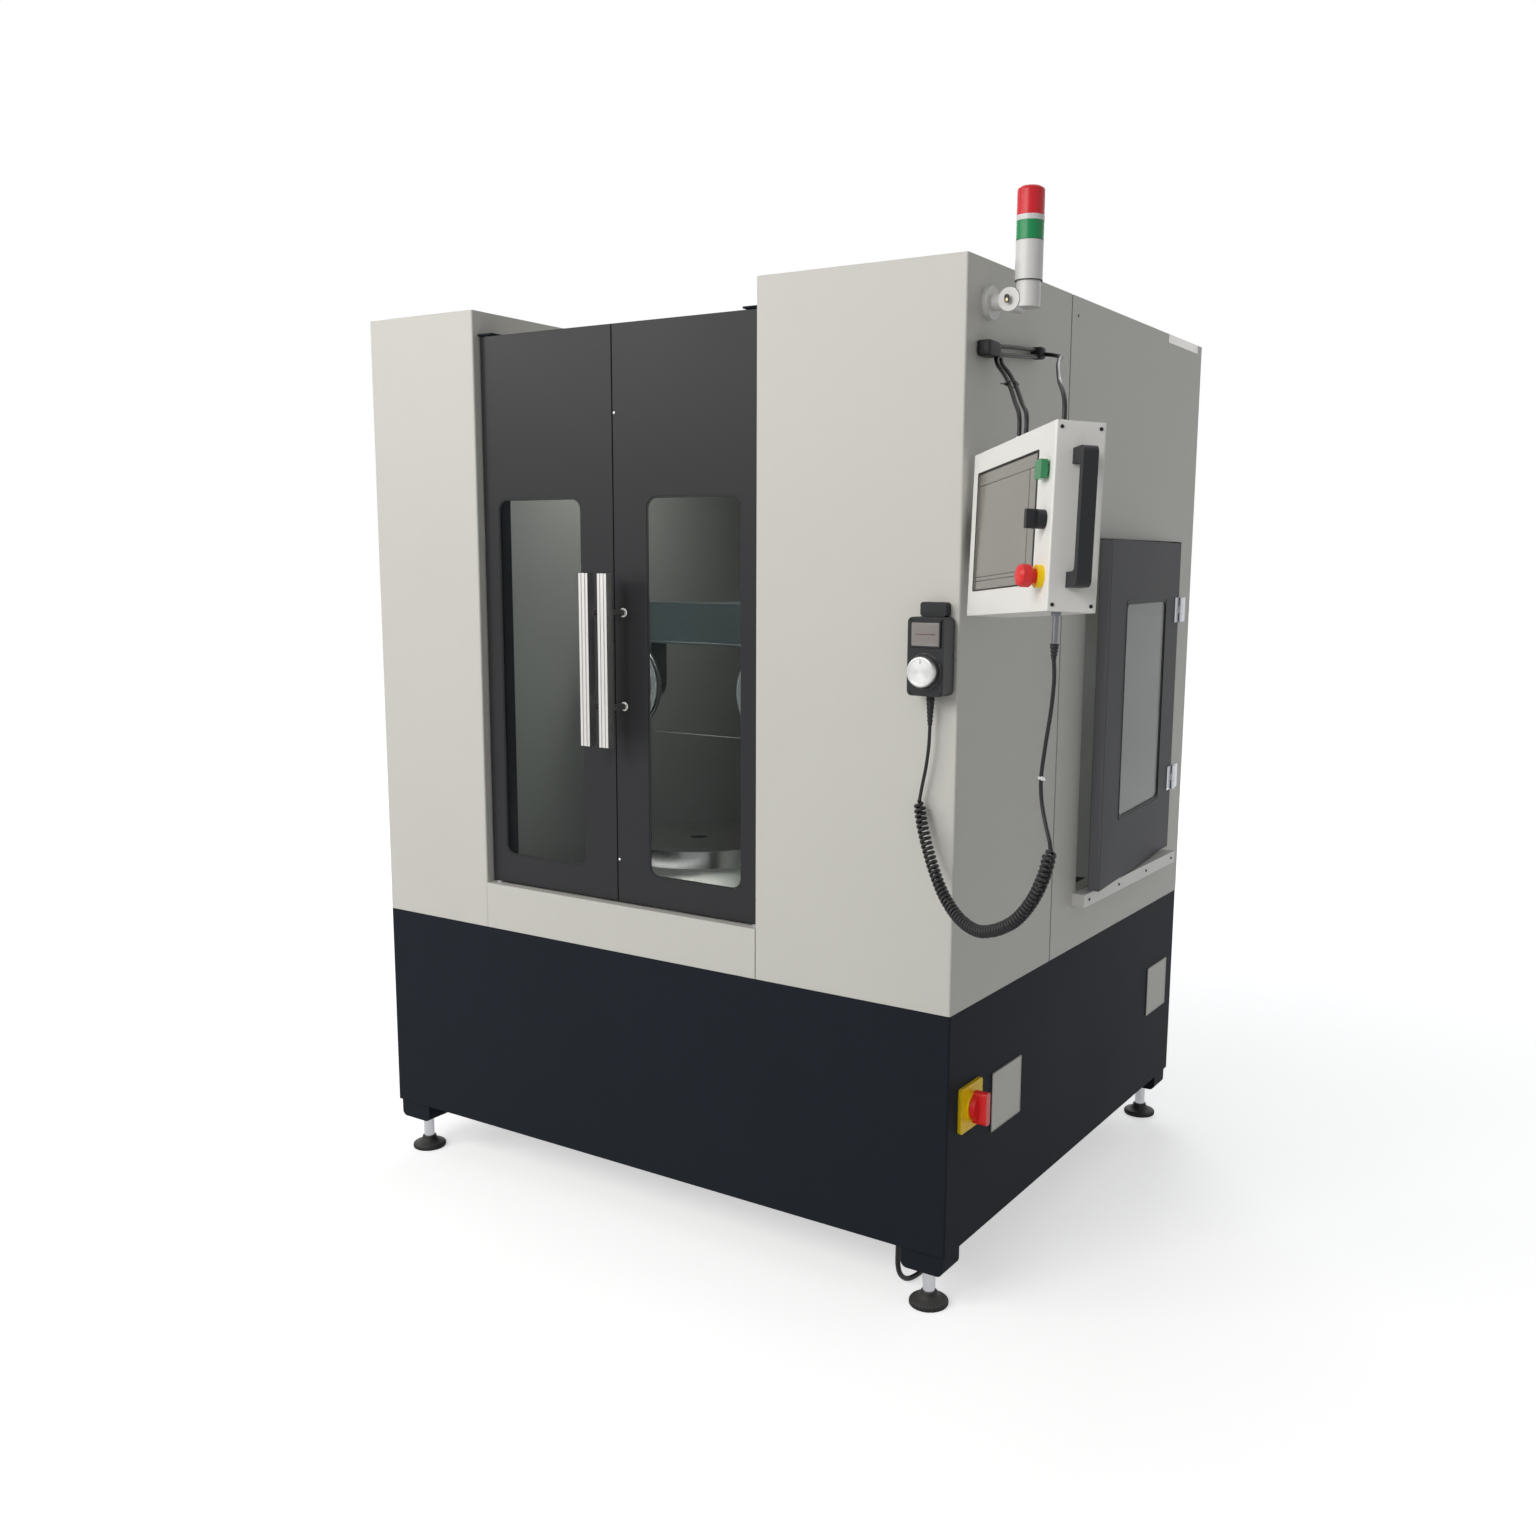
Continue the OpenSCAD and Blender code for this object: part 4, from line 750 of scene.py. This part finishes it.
# %% Ring-turned steel
def ring_turned(name, colour, roughness, centre, flat=(1, 1, 0), pitch=0.0012):
    """Faced metal: relief and shine follow a wave of the distance from the centre.

    flat holds 1 for the axes that the distance is measured in, and 0 for the turning axis.
    """
    m, tree, p = shaded(name, Metallic=1.0)
    level_part = vectors(tree, "MULTIPLY", "Vector", moved(tree, *centre), flat)
    share = wave(tree, vectors(tree, "LENGTH", "Value", level_part), 2 * math.pi / pitch)
    cloud = placed(tree, grain, Scale=500.0, Cloud_Scale=20.0)["Cloud"]
    e = placed(tree, edge, Radius=0.0012, Amount=0.0)
    feed(tree, p, Base_Color=blend_colours(tree, cloud, rgba(colour, 0.9), rgba(colour, 1.1)),
         Roughness=between(tree, share, roughness * 0.8, roughness * 1.2),
         Normal=raised(tree, share, 0.25, 0.0002, Normal=e["Normal"]))
    return m


def middle_of(node):
    """Middle of a CAD node's box."""
    return [(a + b) / 2 for a, b in zip(*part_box(node))]


table_steel = ring_turned("turned_table_steel", (0.62, 0.61, 0.60), 0.22, middle_of("rotary_table"))
wheel_metals = {n: ring_turned(f"turned_{n}", (0.56, 0.56, 0.55), 0.28, middle_of(n), flat=(1, 0, 1))
                for n in ("drive_wheel", "idler_wheel")}
print("turned metals ready")

# %% [markdown]
# ### Finishes onto the CAD nodes
#
# Each node takes the finish of its slot. A few take one of their own: the turned
# table and wheels, the cable glands on the screen box, whose plating is darker than
# zinc, and the side door, whose graphite coat is made duller, as it faces the bright
# surround, and lighter: its sheen is painted into its colour.

# %% Finishes onto the CAD nodes
slot_of = {s["node"]: s["material_slot"] for s in frame["record"]["subparts"]}
own_look = {
    "rotary_table": table_steel, **wheel_metals,
    # The side door: the graphite coat with less shine and a lighter colour, a painted sheen
    "side_door": coated("graphite_powder_coat_painted_sheen", (0.055, 0.056, 0.061), 0.45, clouds=0.08, mirror=0.05),
    "screen_glands": brushed("dark_nickel", (0.15, 0.155, 0.165), 0.26)}
for node, cad in frame["nodes"].items():
    cad.data.materials.clear()
    cad.data.materials.append(own_look.get(node, finish[slot_of[node]]))
for piece in cords:
    piece.data.materials.append(finish["cord_jacket"])
print("finishes on", len(slot_of), "nodes and", len(cords), "cords")

# %% [markdown]
# ## Small pieces
#
# Screws, seals, studs and ties are what makes sheet metal read as a machine. Each one
# is worked out from the frame's boxes and takes a finish by its name, and all but the
# ties ride on the body that carries them, so they move when a door or the screen box does.

# %% Fitting a piece
def dress(piece, look, metal=None):
    """Give a piece the finish of its slot, or a material of its own."""
    piece.data.materials.clear()
    piece.data.materials.append(metal or finish[look])


def fit(piece, body, look, *stands_for, metal=None):
    """Let a piece ride on a body, dress it, and let it stand for any CAD nodes named."""
    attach(piece, body)
    dress(piece, look, metal)
    if stands_for:
        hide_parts(*stands_for)


def screw(name, at, axis, width=0.006, height=0.002):
    """Button-head screw: a low dome with a socket sunk into its middle."""
    shares = np.array([(1, 0), (1, 0.3), (0.9, 0.75), (0.62, 1), (0.46, 1), (0.42, 0.3)])
    return turned(name, shares * (width / 2, height), at, axis, columns=24)


def row_of_screws(name, places, axis, body, look="zinc_steel", **kw):
    """Screws at several places, as one piece."""
    fit(joined(name, [screw(f"{name}_{i}", p, axis, **kw) for i, p in enumerate(places)]), body, look)


print("fitting helpers ready")

# %% [markdown]
# ### Boots
#
# The screen's cables leave the wall through two soft rubber boots. A boot is a rounded
# block: every cross-section is a superellipse, whose power sets how square it looks,
# and the section grows and shrinks along the boot.

# %% Boots
def soft_block(name, centre, along, up, half, power=4.0, bulge=None):
    """Superellipsoid with half sizes (length, width, height).

    A section at s (from -1 to 1) along the length is scaled by (1 - |s|^p)^(1/p), and the
    section itself holds the points with |y|^p + |z|^p = 1. bulge(s) is a further factor.
    """
    x, z = unit(along), unit(up)
    y = np.cross(z, x)
    s = np.sin(np.linspace(-np.pi / 2, np.pi / 2, 28))[1:-1]
    t = np.linspace(0, 2 * np.pi, 48, endpoint=False)
    grow = (1 - np.abs(s) ** power) ** (1 / power) * (1.0 if bulge is None else bulge(s))
    c, q = np.cos(t), np.sin(t)
    across = np.sign(c) * np.abs(c) ** (2 / power) * half[1]
    height = np.sign(q) * np.abs(q) ** (2 / power) * half[2]
    points = (np.asarray(centre) + (s * half[0])[:, None, None] * x
              + (grow[:, None] * across)[..., None] * y + (grow[:, None] * height)[..., None] * z)
    return ring_shell(name, points, sharp=80)


for name, centre, half, shape in (
        ("front_boot", (0.799, -0.597, 1.889), (0.028, 0.0138, 0.0148),
         {"power": 7.0, "bulge": lambda s: 1 - 0.03 * (1 + s) ** 2}),
        ("rear_boot", (0.798, -0.378, 1.908), (0.011, 0.0128, 0.0118), {"power": 4.5})):
    fit(soft_block(name, centre, Y, Z, half, **shape), "cabinet", "black_rubber", "cable_boots")
    print(name)

# %% [markdown]
# ### Ties
#
# A nylon tie holds two of the screen's cables together, and a second is on the
# pendant's lead.

# %% Ties
def tie(name, centre, along, wide_way, inner, look, band=0.004):
    """Nylon tie: a band wrapped round an oval of half sizes inner, square to along.

    The band's section is an oval too, band broad and thick deep, carried round the
    wrapping, which is the loop of points (a cos t, b sin t). Its head and tail are
    rounded blocks at the oval's end.
    """
    thick = 0.0014
    w = unit(along)
    x = unit(np.asarray(wide_way) - np.dot(wide_way, w) * w)
    y = np.cross(w, x)
    t = np.linspace(0, 2 * np.pi, 48, endpoint=False)
    q = np.linspace(0, 2 * np.pi, 12, endpoint=False)
    a, b = inner[0] + thick / 2, inner[1] + thick / 2
    way = np.cos(t)[:, None] * a * x + np.sin(t)[:, None] * b * y
    out = unit(np.cos(t)[:, None] * x / a + np.sin(t)[:, None] * y / b)
    rings = (centre + way[:, None] + np.cos(q)[None, :, None] * thick / 2 * out[:, None]
             + np.sin(q)[None, :, None] * band / 2 * w)
    loop = ring_shell(f"{name}_band", rings, loop=True, sharp=80, lengths=np.linspace(0, 1, 49))
    head = soft_block(f"{name}_head", centre + (a + thick) * x, w, x, (band * 0.7, 0.0028, 0.0026))
    tail = soft_block(f"{name}_tail", centre + (a + 0.005) * x, x, w, (0.006, 0.0007, band * 0.42))
    whole = joined(name, [loop, head, tail])
    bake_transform(whole)
    dress(whole, look)
    print(name)


near_cable, far_cable = cable_routes[0][5], cable_routes[1][5]
tie("cable_tie", (near_cable + far_cable) / 2, far_cable - cable_routes[1][4], near_cable - far_cable,
    (0.0105, 0.0050), "black_plastic")
tie("lead_tie", lead_lower[3], lead_lower[4] - lead_lower[2], (0.75, -0.66, 0), (0.0036, 0.0036),
    "grey_plastic", band=0.005)

# %% [markdown]
# ### Strain reliefs
#
# Where a cord leaves a housing a ribbed rubber sleeve keeps it from kinking. It is
# lathe work: a taper with rings cut into it, each ring one period of a cosine.

# %% Strain reliefs
def ribbed_sleeve(name, foot, axis, length, wide, narrow, ribs=7):
    """Tapered sleeve: radius runs from wide to narrow, less depth x (1 - cos) / 2 at each groove."""
    depth = 0.0012
    s = np.linspace(0, 1, ribs * 10 + 1)
    radius = wide + (narrow - wide) * s - depth * 0.5 * (1 - np.cos(2 * np.pi * ribs * s)) * (s < 1)
    profile = np.vstack([[radius[0] * 0.9, 0.0], np.stack([radius, s * (length - 0.001) + 0.0005], -1),
                         [radius[-1] * 0.85, length]])
    return turned(name, profile, foot, axis, columns=32, sharp=60)


relief_low, relief_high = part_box("pendant_relief")
relief_x, relief_y, _ = middle_of("pendant_relief")
fit(ribbed_sleeve("pendant_sleeve", (relief_x, relief_y, relief_high[2]), -Z, relief_high[2] - relief_low[2],
                  0.0088, 0.0050), "cabinet", "black_rubber", "pendant_relief")
fit(ribbed_sleeve("gland_sleeve", in_box(*low_gland, -low_gland_length + 0.0005), -box_z, 0.024,
                  0.0078, 0.0046, ribs=4), "screen", "black_rubber")
print("sleeves ready")

# %% [markdown]
# ### Pendant
#
# The hand pendant has a small framed plate above a knurled handwheel that turns inside
# a printed ring of ticks. The knurl is a fine wave on the radius, one crest for every
# click of the wheel, and it fades to nothing where the wheel's face begins.

# %% Pendant details
wheel_low, wheel_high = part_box("pendant_wheel")
wheel_mid = middle_of("pendant_wheel")
wheel_x, _, wheel_z = wheel_mid
pendant_low, pendant_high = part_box("pendant_body")
pendant_face, pendant_top = pendant_low[1], pendant_high[2]

# Radius, height and the share of the knurl's depth at each row
clicks = 60
deep = wheel_high[1] - wheel_low[1]
wheel_rows = [(0.010, 0.0, 0), (0.010, 0.013, 0), (0.0262, 0.0132, 0), (0.0285, 0.0145, 1),
              (0.0290, 0.0160, 1), (0.0290, deep - 0.0030, 1), (0.0282, deep - 0.0012, 1),
              (0.0268, deep - 0.0002, 0), (0.0255, deep, 0), (0.0240, deep, 0),
              (0.0232, deep - 0.0008, 0), (0.0010, deep - 0.0008, 0)]
wheel_metal = ring_turned("turned_handwheel", (0.50, 0.50, 0.495), 0.36, wheel_mid, flat=(1, 0, 1),
                          pitch=0.0006)
fit(turned("knurled_handwheel", wheel_rows, (wheel_x, wheel_high[1], wheel_z), -Y, columns=clicks * 6,
           crests=clicks, depth=0.0004), "handwheel", "machined_steel", "pendant_wheel", metal=wheel_metal)
fit(plate("handwheel_mark", (wheel_x, wheel_low[1] + 0.0008, wheel_z + 0.018), X, Z, (0.0012, 0.007, 0.0004),
          0.0004, edge=0.0001), "handwheel", "black_plastic")

# Ring of ticks: a long one every tenth
ticks, tick_outer = [], 0.0345
for k, t in enumerate(np.linspace(0, 2 * np.pi, 50, endpoint=False)):
    outward = np.array([math.sin(t), 0.0, math.cos(t)])
    length = 0.0032 if k % 10 == 0 else 0.0018
    place = np.array([wheel_x, pendant_face - 0.0001, wheel_z]) + (tick_outer - length / 2) * outward
    ticks.append(plate(f"tick_{k}", place, np.cross(Y, outward), outward, (0.0005, length, 0.0003), 0.0002,
                       edge=0.0001))
fit(joined("tick_ring", ticks), "cabinet", "white_paint")

plate_mid = np.array([wheel_x, pendant_face, pendant_top - 0.0315])
fit(plate("pendant_plate", plate_mid, X, Z, (0.058, 0.043, 0.0008), 0.002), "cabinet", "display_glass")
fit(rim("pendant_plate_frame", plate_mid, X, Z, (0.064, 0.049), 0.003, 0.0014, 0.003),
    "cabinet", "black_plastic")
faded_red = coated("faded_red_line", (0.20, 0.075, 0.05), 0.4, relief=0.0, wear_and_highlight=0.0, dusty=0.0)
fit(plate("pendant_plate_line", plate_mid - 0.0008 * Y, X, Z, (0.042, 0.0014, 0.0002), 0.0004, edge=0.0001),
    "cabinet", "red_plastic", metal=faded_red)
screw_x, screw_z = 0.032, (pendant_top - pendant_low[2]) / 2 - 0.006
pendant_mid_z = (pendant_top + pendant_low[2]) / 2
row_of_screws("pendant_screws", [(wheel_x + sx * screw_x, pendant_face, pendant_mid_z + sz * screw_z)
                                 for sx in (-1, 1) for sz in (-1, 1)], -Y, "cabinet",
              look="black_plastic", width=0.0042, height=0.0012)
print("pendant dressed,", len(ticks), "ticks")

# %% [markdown]
# ### Screen box
#
# The display sits in a dark gasket behind the white front, with the faint outlines of
# an empty control page on it. The grab handle's side is closed by four dark screws.

# %% Screen box details
glass_low, glass_high = extent("screen_glass", box_axes)
glass_mid, glass_size = (glass_low + glass_high) / 2, glass_high - glass_low
face_y, glass_lap = box_low[1], 0.006


def on_face(x, z, proud=0.0):
    """A point on the box's front, from the display's middle, and proud of the face."""
    return (glass_mid[0] + x) * box_x + (face_y - proud) * box_y + (glass_mid[2] + z) * box_z


wide, tall = glass_size[0] - 2 * glass_lap, glass_size[2] - 2 * glass_lap
fit(rim("display_gasket", on_face(0, 0), box_x, box_z, (wide + 0.0015, tall + 0.0015), 0.0026, 0.0009, 0.003),
    "screen", "black_rubber")
fit(plate("display_edge", on_face(wide / 2 - 0.003, 0), box_x, box_z, (0.0060, tall - 0.002, 0.0007), 0.0010,
          edge=0.0002), "screen", "black_rubber")

# The page's outlines: middle across and up, then width and height
line_w, line_long = 0.0014, wide - 0.014
outlines = [(-0.003, tall / 2 - 0.024, line_long, line_w), (-0.003, -tall / 2 + 0.024, line_long, line_w),
            (-0.003, -tall / 2 + 0.017, line_long, line_w), (wide / 2 - 0.046, 0.0, line_w, tall - 0.048),
            (wide / 2 - 0.018, tall / 2 - 0.034, 0.010, 0.010)]
sunk = glass_low[1] - face_y
page = [plate(f"page_{i}", on_face(x, z, 0.0002 - sunk), box_x, box_z, (w, h, 0.0002), 0.0004, edge=0.0001)
        for i, (x, z, w, h) in enumerate(outlines)]
fit(joined("control_page", page), "screen", "display_glass",
    metal=coated("control_page_lines", (0.15, 0.14, 0.13), 0.3, relief=0.0, wear_and_highlight=0.0, dusty=0.0))
row_of_screws("box_screws", [in_box(box_long, y, z) for y in (0.009, box_deep - 0.009)
                             for z in (0.010, box_tall - 0.010)], box_x, "screen", look="black_plastic",
              width=0.0062, height=0.0016)
fit(plate("box_back_cover", in_box(box_long * 0.55, box_deep, box_tall / 2), -box_x, box_z,
          (box_long * 0.62, box_tall * 0.80, 0.0014), 0.004), "screen", "white_paint")
print("screen box dressed", glass_size.round(4))

# %% [markdown]
# ### Signal tower
#
# A pale ring parts the two lenses, and a dark joint shows where the tube is screwed
# to its folding knuckle. The knuckle's own screw sits on a small dark plate, painted
# shade that stands for a recess.

# %% Tower details
tube_r = (tower_high[0] - tower_low[0]) / 2
for name, height, proud, sunk, half, slope, look in (
        ("tower_band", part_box("tower_red")[0][2], 0.0004, 0.003, 0.005, 0.94, "grey_plastic"),
        ("tower_joint_low", tower_low[2], 0.00015, 0.002, 0.0008, 0.8, "black_plastic"),
        ("tower_joint_high", tower_high[2], 0.00015, 0.002, 0.0005, 0.8, "black_plastic")):
    r = tube_r + proud
    fit(turned(name, [(r - sunk, -half), (r, -half * slope), (r, half * slope), (r - sunk, half)],
               (*tower_axis, height), Z, columns=64), "tower", look)
bracket_low, bracket_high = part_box("tower_bracket")
knuckle_r = 0.021
knuckle_mid = np.array([bracket_high[0] - knuckle_r, bracket_low[1], middle_of("tower_bracket")[2]])
# A thin dark plate round the screw: painted shade for a recess
fit(plate("knuckle_painted_recess_shade", knuckle_mid, X, Z, (0.010, 0.015, 0.0004), 0.004, edge=0.0002),
    "cabinet", "black_plastic")
fit(screw("knuckle_screw", knuckle_mid - (0, 0.0003, 0.0025), -Y, width=0.0075, height=0.0022),
    "cabinet", "zinc_steel", metal=brushed("brass_screw", (0.55, 0.47, 0.30), 0.35))
print("tower dressed")

# %% [markdown]
# ### Feet
#
# A levelling foot is a moulded pad under a steel spindle. Its skirt is ribbed for
# grip, which is a wave on the radius, and it rises in a smooth cone to a collar round
# the spindle. The four are one piece, as they are identical.

# %% Feet
pads_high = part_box("foot_pads")[1]
pad_r, pad_ribs = 0.041, 36

# Radius, height and the share of the ribs' depth at each row
pad_rows = [(pad_r - 0.006, 0.0, 0), (pad_r - 0.001, 0.0008, 0.5), (pad_r, 0.003, 1), (pad_r, 0.0085, 1),
            (pad_r - 0.002, 0.0112, 0.6), (pad_r - 0.007, 0.0132, 0), (0.027, 0.0155, 0), (0.0215, 0.0190, 0),
            (0.0180, 0.0235, 0), (0.0172, 0.0285, 0), (0.0160, 0.0300, 0)]
pads = [turned(f"pad_{sx}_{sy}", pad_rows, (sx * (pads_high[0] - pad_r), sy * (pads_high[1] - pad_r), 0.0), Z,
               columns=pad_ribs * 6, crests=pad_ribs, depth=0.0014) for sx in (-1, 1) for sy in (-1, 1)]
fit(joined("ribbed_feet", pads), "cabinet", "black_rubber", "foot_pads")
print("feet at", pads_high)

# %% [markdown]
# ### Doors
#
# A thin rubber bead holds each pane in its opening, each handle stands on two bright
# flanges, and two small catches show beside the meeting edges.

# %% Door details
pane_lap, bead_gap = 0.012, 0.0004
handle_ends, catch_heights = (1.184, 1.388), (0.84, 1.81)
flange_rows = [(0.0100, 0), (0.0100, 0.0018), (0.0088, 0.0028), (0.0072, 0.0034)]
for side in ("left", "right"):
    pane_low, pane_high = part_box(f"{side}_glass")
    door_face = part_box(f"{side}_door")[0][1]
    pane_x, _, pane_z = middle_of(f"{side}_glass")
    size = [pane_high[k] - pane_low[k] - 2 * pane_lap - bead_gap for k in (0, 2)]
    fit(rim(f"{side}_window_bead", (pane_x, pane_low[1], pane_z), X, Z, size, 0.0035, 0.0014, 0.0258),
        f"{side}_leaf", "black_rubber")
    flanges = [turned(f"{side}_flange_{i}", flange_rows, (middle_of(f"{side}_handle")[0], door_face, z), -Y,
                      columns=32) for i, z in enumerate(handle_ends)]
    fit(joined(f"{side}_handle_flanges", flanges), f"{side}_leaf", "satin_aluminium")
catches = [turned(f"lock_{i}", [(0.0030, 0), (0.0030, 0.0006), (0.0022, 0.0012), (0.0008, 0.0014)],
                  (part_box("right_door")[0][0] + 0.004, door_face, z), -Y, columns=24)
           for i, z in enumerate(catch_heights)]
fit(joined("door_catches", catches), "right_leaf", "zinc_steel")
print("doors dressed")

# %% [markdown]
# ### Right wall and plinth
#
# Two blank covers with a folded rim close openings in the plinth, a bare strip runs
# along the top edge, and screws hold the ledge under the side door. That door has a
# bead round its pane and a paler edge, a painted highlight where its edge catches light.

# %% Wall and plinth details
wall_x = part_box("right_column")[1][0]
covers_low, covers_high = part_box("cover_plates")
cover_w, cover_h, seal_lap = 0.142, covers_high[2] - covers_low[2], 0.005
cover_z = middle_of("cover_plates")[2]
for k, y in enumerate((covers_low[1] + cover_w / 2, covers_high[1] - cover_w / 2)):
    fit(rim(f"cover_rim_{k + 1}", (covers_high[0], y, cover_z), Y, Z, (cover_w, cover_h),
            0.0022, 0.0008, 0.003), "cabinet", "light_paint")
    fit(rim(f"cover_seal_{k + 1}", (wall_x, y, cover_z), Y, Z, (cover_w + seal_lap, cover_h + seal_lap),
            0.0026, 0.0014, 0.005), "cabinet", "black_rubber")
fit(plate("top_strip", (wall_x, 0.522, 2.040), Y, Z, (0.220, 0.020, 0.0008), 0.0015, edge=0.0002),
    "cabinet", "satin_aluminium")
fit(turned("hole_plug", [(0.0030, 0), (0.0030, 0.0006), (0.0020, 0.0010)], (wall_x, -0.151, 2.012), X,
           columns=24), "cabinet", "black_plastic")
ledge_low, ledge_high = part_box("side_ledge")
row_of_screws("ledge_screws", [(ledge_high[0], y, middle_of("side_ledge")[2])
                               for y in np.linspace(ledge_low[1] + 0.03, ledge_high[1] - 0.03, 4)],
              X, "cabinet", look="black_plastic", width=0.007)

# The side leaf stands a little ajar, so its directions are read from its pane
leaf_z, leaf_y, leaf_x = slab_axes("side_glass", [Z, -Y, X])
leaf_axes = np.array([leaf_x, leaf_y, leaf_z])
leaf_low, leaf_high = extent("side_door", leaf_axes)
pane_low, pane_high = extent("side_glass", leaf_axes)
leaf_mid, leaf_size = (leaf_low + leaf_high) / 2, leaf_high - leaf_low
pane_mid, pane_size = (pane_low + pane_high) / 2, pane_high - pane_low
print("side leaf", leaf_size.round(4), "pane", pane_size.round(4))
# The leaf's front edge: a paler plate, a painted highlight
fit(plate("side_leaf_edge", np.array([leaf_mid[0], leaf_high[1], leaf_mid[2]]) @ leaf_axes, leaf_x, leaf_z,
          (leaf_size[0] - 0.001, leaf_size[2] - 0.002, 0.0008), 0.001, edge=0.0003),
    "side_leaf", "dark_paint", metal=coated("leaf_edge_painted_highlight", (0.150, 0.152, 0.162), 0.4, mirror=0.3))
fit(rim("side_window_bead", np.array([leaf_high[0], pane_mid[1], pane_mid[2]]) @ leaf_axes, -leaf_y, leaf_z,
        (pane_size[1] - 0.022, pane_size[2] - 0.003), 0.0035, 0.0012, 0.012), "side_leaf", "black_rubber")

# %% [markdown]
# ### Rear panel
#
# The back is one plain sheet, screwed to the side panels, the plinth and the roof all
# round its border. Its screws could be left as a bump in the paint, but they stand out
# against the sky along the edges, so they are real domes in one joined piece.

# %% Rear panel screws
(back_x0, _, back_z0), (back_x1, back_y, back_z1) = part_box("rear_panel")
(roof_x0, _, roof_z0), (roof_x1, _, _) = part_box("roof_panel")
inset = 0.016
places = [(x, z) for x in (back_x0 + inset, back_x1 - inset)
          for z in np.linspace(back_z0 + inset, back_z1 - inset, 8)]
places += [(x, back_z0 + inset) for x in np.linspace(back_x0, back_x1, 9)[1:-1]]
places += [(x, roof_z0 - inset) for x in np.linspace(roof_x0, roof_x1, 5)]
row_of_screws("rear_panel_screws", [(x, back_y, z) for x, z in places], Y, "cabinet",
              width=0.012, height=0.0035)
print("rear panel held by", len(places), "screws")

# %% [markdown]
# ## The studio
#
# A plain pale floor and a white surround. A broad key lamp and a long card stand ahead
# and to the left, one lamp stands behind, and the sky lights all round. Three small
# lamps inside the cabinet light the saw and the table, so that they show through the
# panes, and the camera sees none of the three. What a camera, a mirror or glass sees
# of the surround is plain white, which a Light Path node tells apart from the light
# itself, so the backdrop can be white without more light falling on the machine.

# %% Floor, sky and lamps
studio_floor = bpy.data.meshes.new("studio_floor")
reach = 40.0
studio_floor.from_pydata([(-reach, -reach, 0), (reach, -reach, 0), (reach, reach, 0), (-reach, reach, 0)],
                         [], [(0, 1, 2, 3)])
floor = bpy.data.objects.new("studio_floor", studio_floor)
scene.collection.objects.link(floor)


def seen_directly(tree):
    """1 for camera, glossy and transmission rays, and 0 for the rest."""
    path = tree.nodes.new("ShaderNodeLightPath").outputs
    shine = maths(tree, "MAXIMUM", path["Is Glossy Ray"], path["Is Transmission Ray"])
    return maths(tree, "MAXIMUM", path["Is Camera Ray"], shine)


# The floor glows only where it is seen directly, more so further out, to meet the sky
floor_paint, floor_tree, floor_shader = shaded("studio_floor", Roughness=0.9, Specular_IOR_Level=0.0,
                                               Base_Color=(0.78, 0.78, 0.78, 1), Emission_Color=(1, 1, 1, 1))
away = vectors(floor_tree, "LENGTH", "Value", own_place(floor_tree))
paler = add(floor_tree, "ShaderNodeMapRange", i0=away, i1=1.5, i2=7.0, i3=0.55, i4=0.80).outputs[0]
glow = maths(floor_tree, "MULTIPLY", seen_directly(floor_tree), paler)
feed(floor_tree, floor_shader, Emission_Strength=glow)
studio_floor.materials.append(floor_paint)

scene.world = sky = bpy.data.worlds.new("studio")
sky.use_nodes = True
st = sky.node_tree
lit = feed(st, st.nodes["Background"], Color=(0.97, 0.985, 1.0, 1), Strength=0.33)
white = add(st, "ShaderNodeBackground", Color=(1, 1, 1, 1), Strength=1.0)
both = add(st, "ShaderNodeMixShader", i0=seen_directly(st), i1=lit.outputs[0], i2=white.outputs[0])
feed(st, st.nodes["World Output"], Surface=both.outputs[0])


def softbox(name, place, target, size, watts, colour, spread=180, hidden_from=()):
    """Area lamp at a place, facing a target.

    size is its width and height, spread its cone in degrees, and hidden_from names
    the kinds of ray that don't see the lamp itself.
    """
    lamp = bpy.data.lights.new(name, "AREA")
    lamp.shape = "RECTANGLE"
    lamp.size, lamp.size_y = size
    lamp.energy, lamp.color, lamp.spread = watts, colour, math.radians(spread)
    holder = bpy.data.objects.new(name, lamp)
    holder.location = place
    holder.rotation_euler = (Vector(target) - Vector(place)).to_track_quat("-Z", "Y").to_euler()
    scene.collection.objects.link(holder)
    for kind in hidden_from:
        setattr(holder, f"visible_{kind}", False)


front_light, table_light, unseen = (1.0, 0.985, 0.96), (1.0, 0.98, 0.95), ("camera", "transmission")
softbox("key", (-0.6, -5.2, 3.7), (0, -0.6, 1.3), (2.6, 2.6), 130, front_light)
softbox("left_card", (-3.9, -4.9, 3.05), (-0.2, -0.6, 1.9), (2.4, 0.9), 70, front_light)
softbox("inner_fill", (-0.06, -0.30, 1.93), (-0.06, -0.25, 0.9), (0.5, 0.3), 2.4, (1.0, 0.99, 0.97),
        hidden_from=unseen)
softbox("rim_light", (0.05, -0.612, 0.775), (0.05, -0.450, 0.765), (0.34, 0.05), 0.07, table_light,
        140, unseen)
softbox("table_lamp", (0.12, -0.585, 0.960), (0.12, -0.480, 0.720), (0.34, 0.03), 0.50, table_light,
        60, (*unseen, "glossy"))
softbox("rear_fill", (-2.0, 5.5, 4.0), (0, 0.5, 1.2), (3.0, 3.0), 130, (0.95, 0.975, 1.0))
print("studio ready")
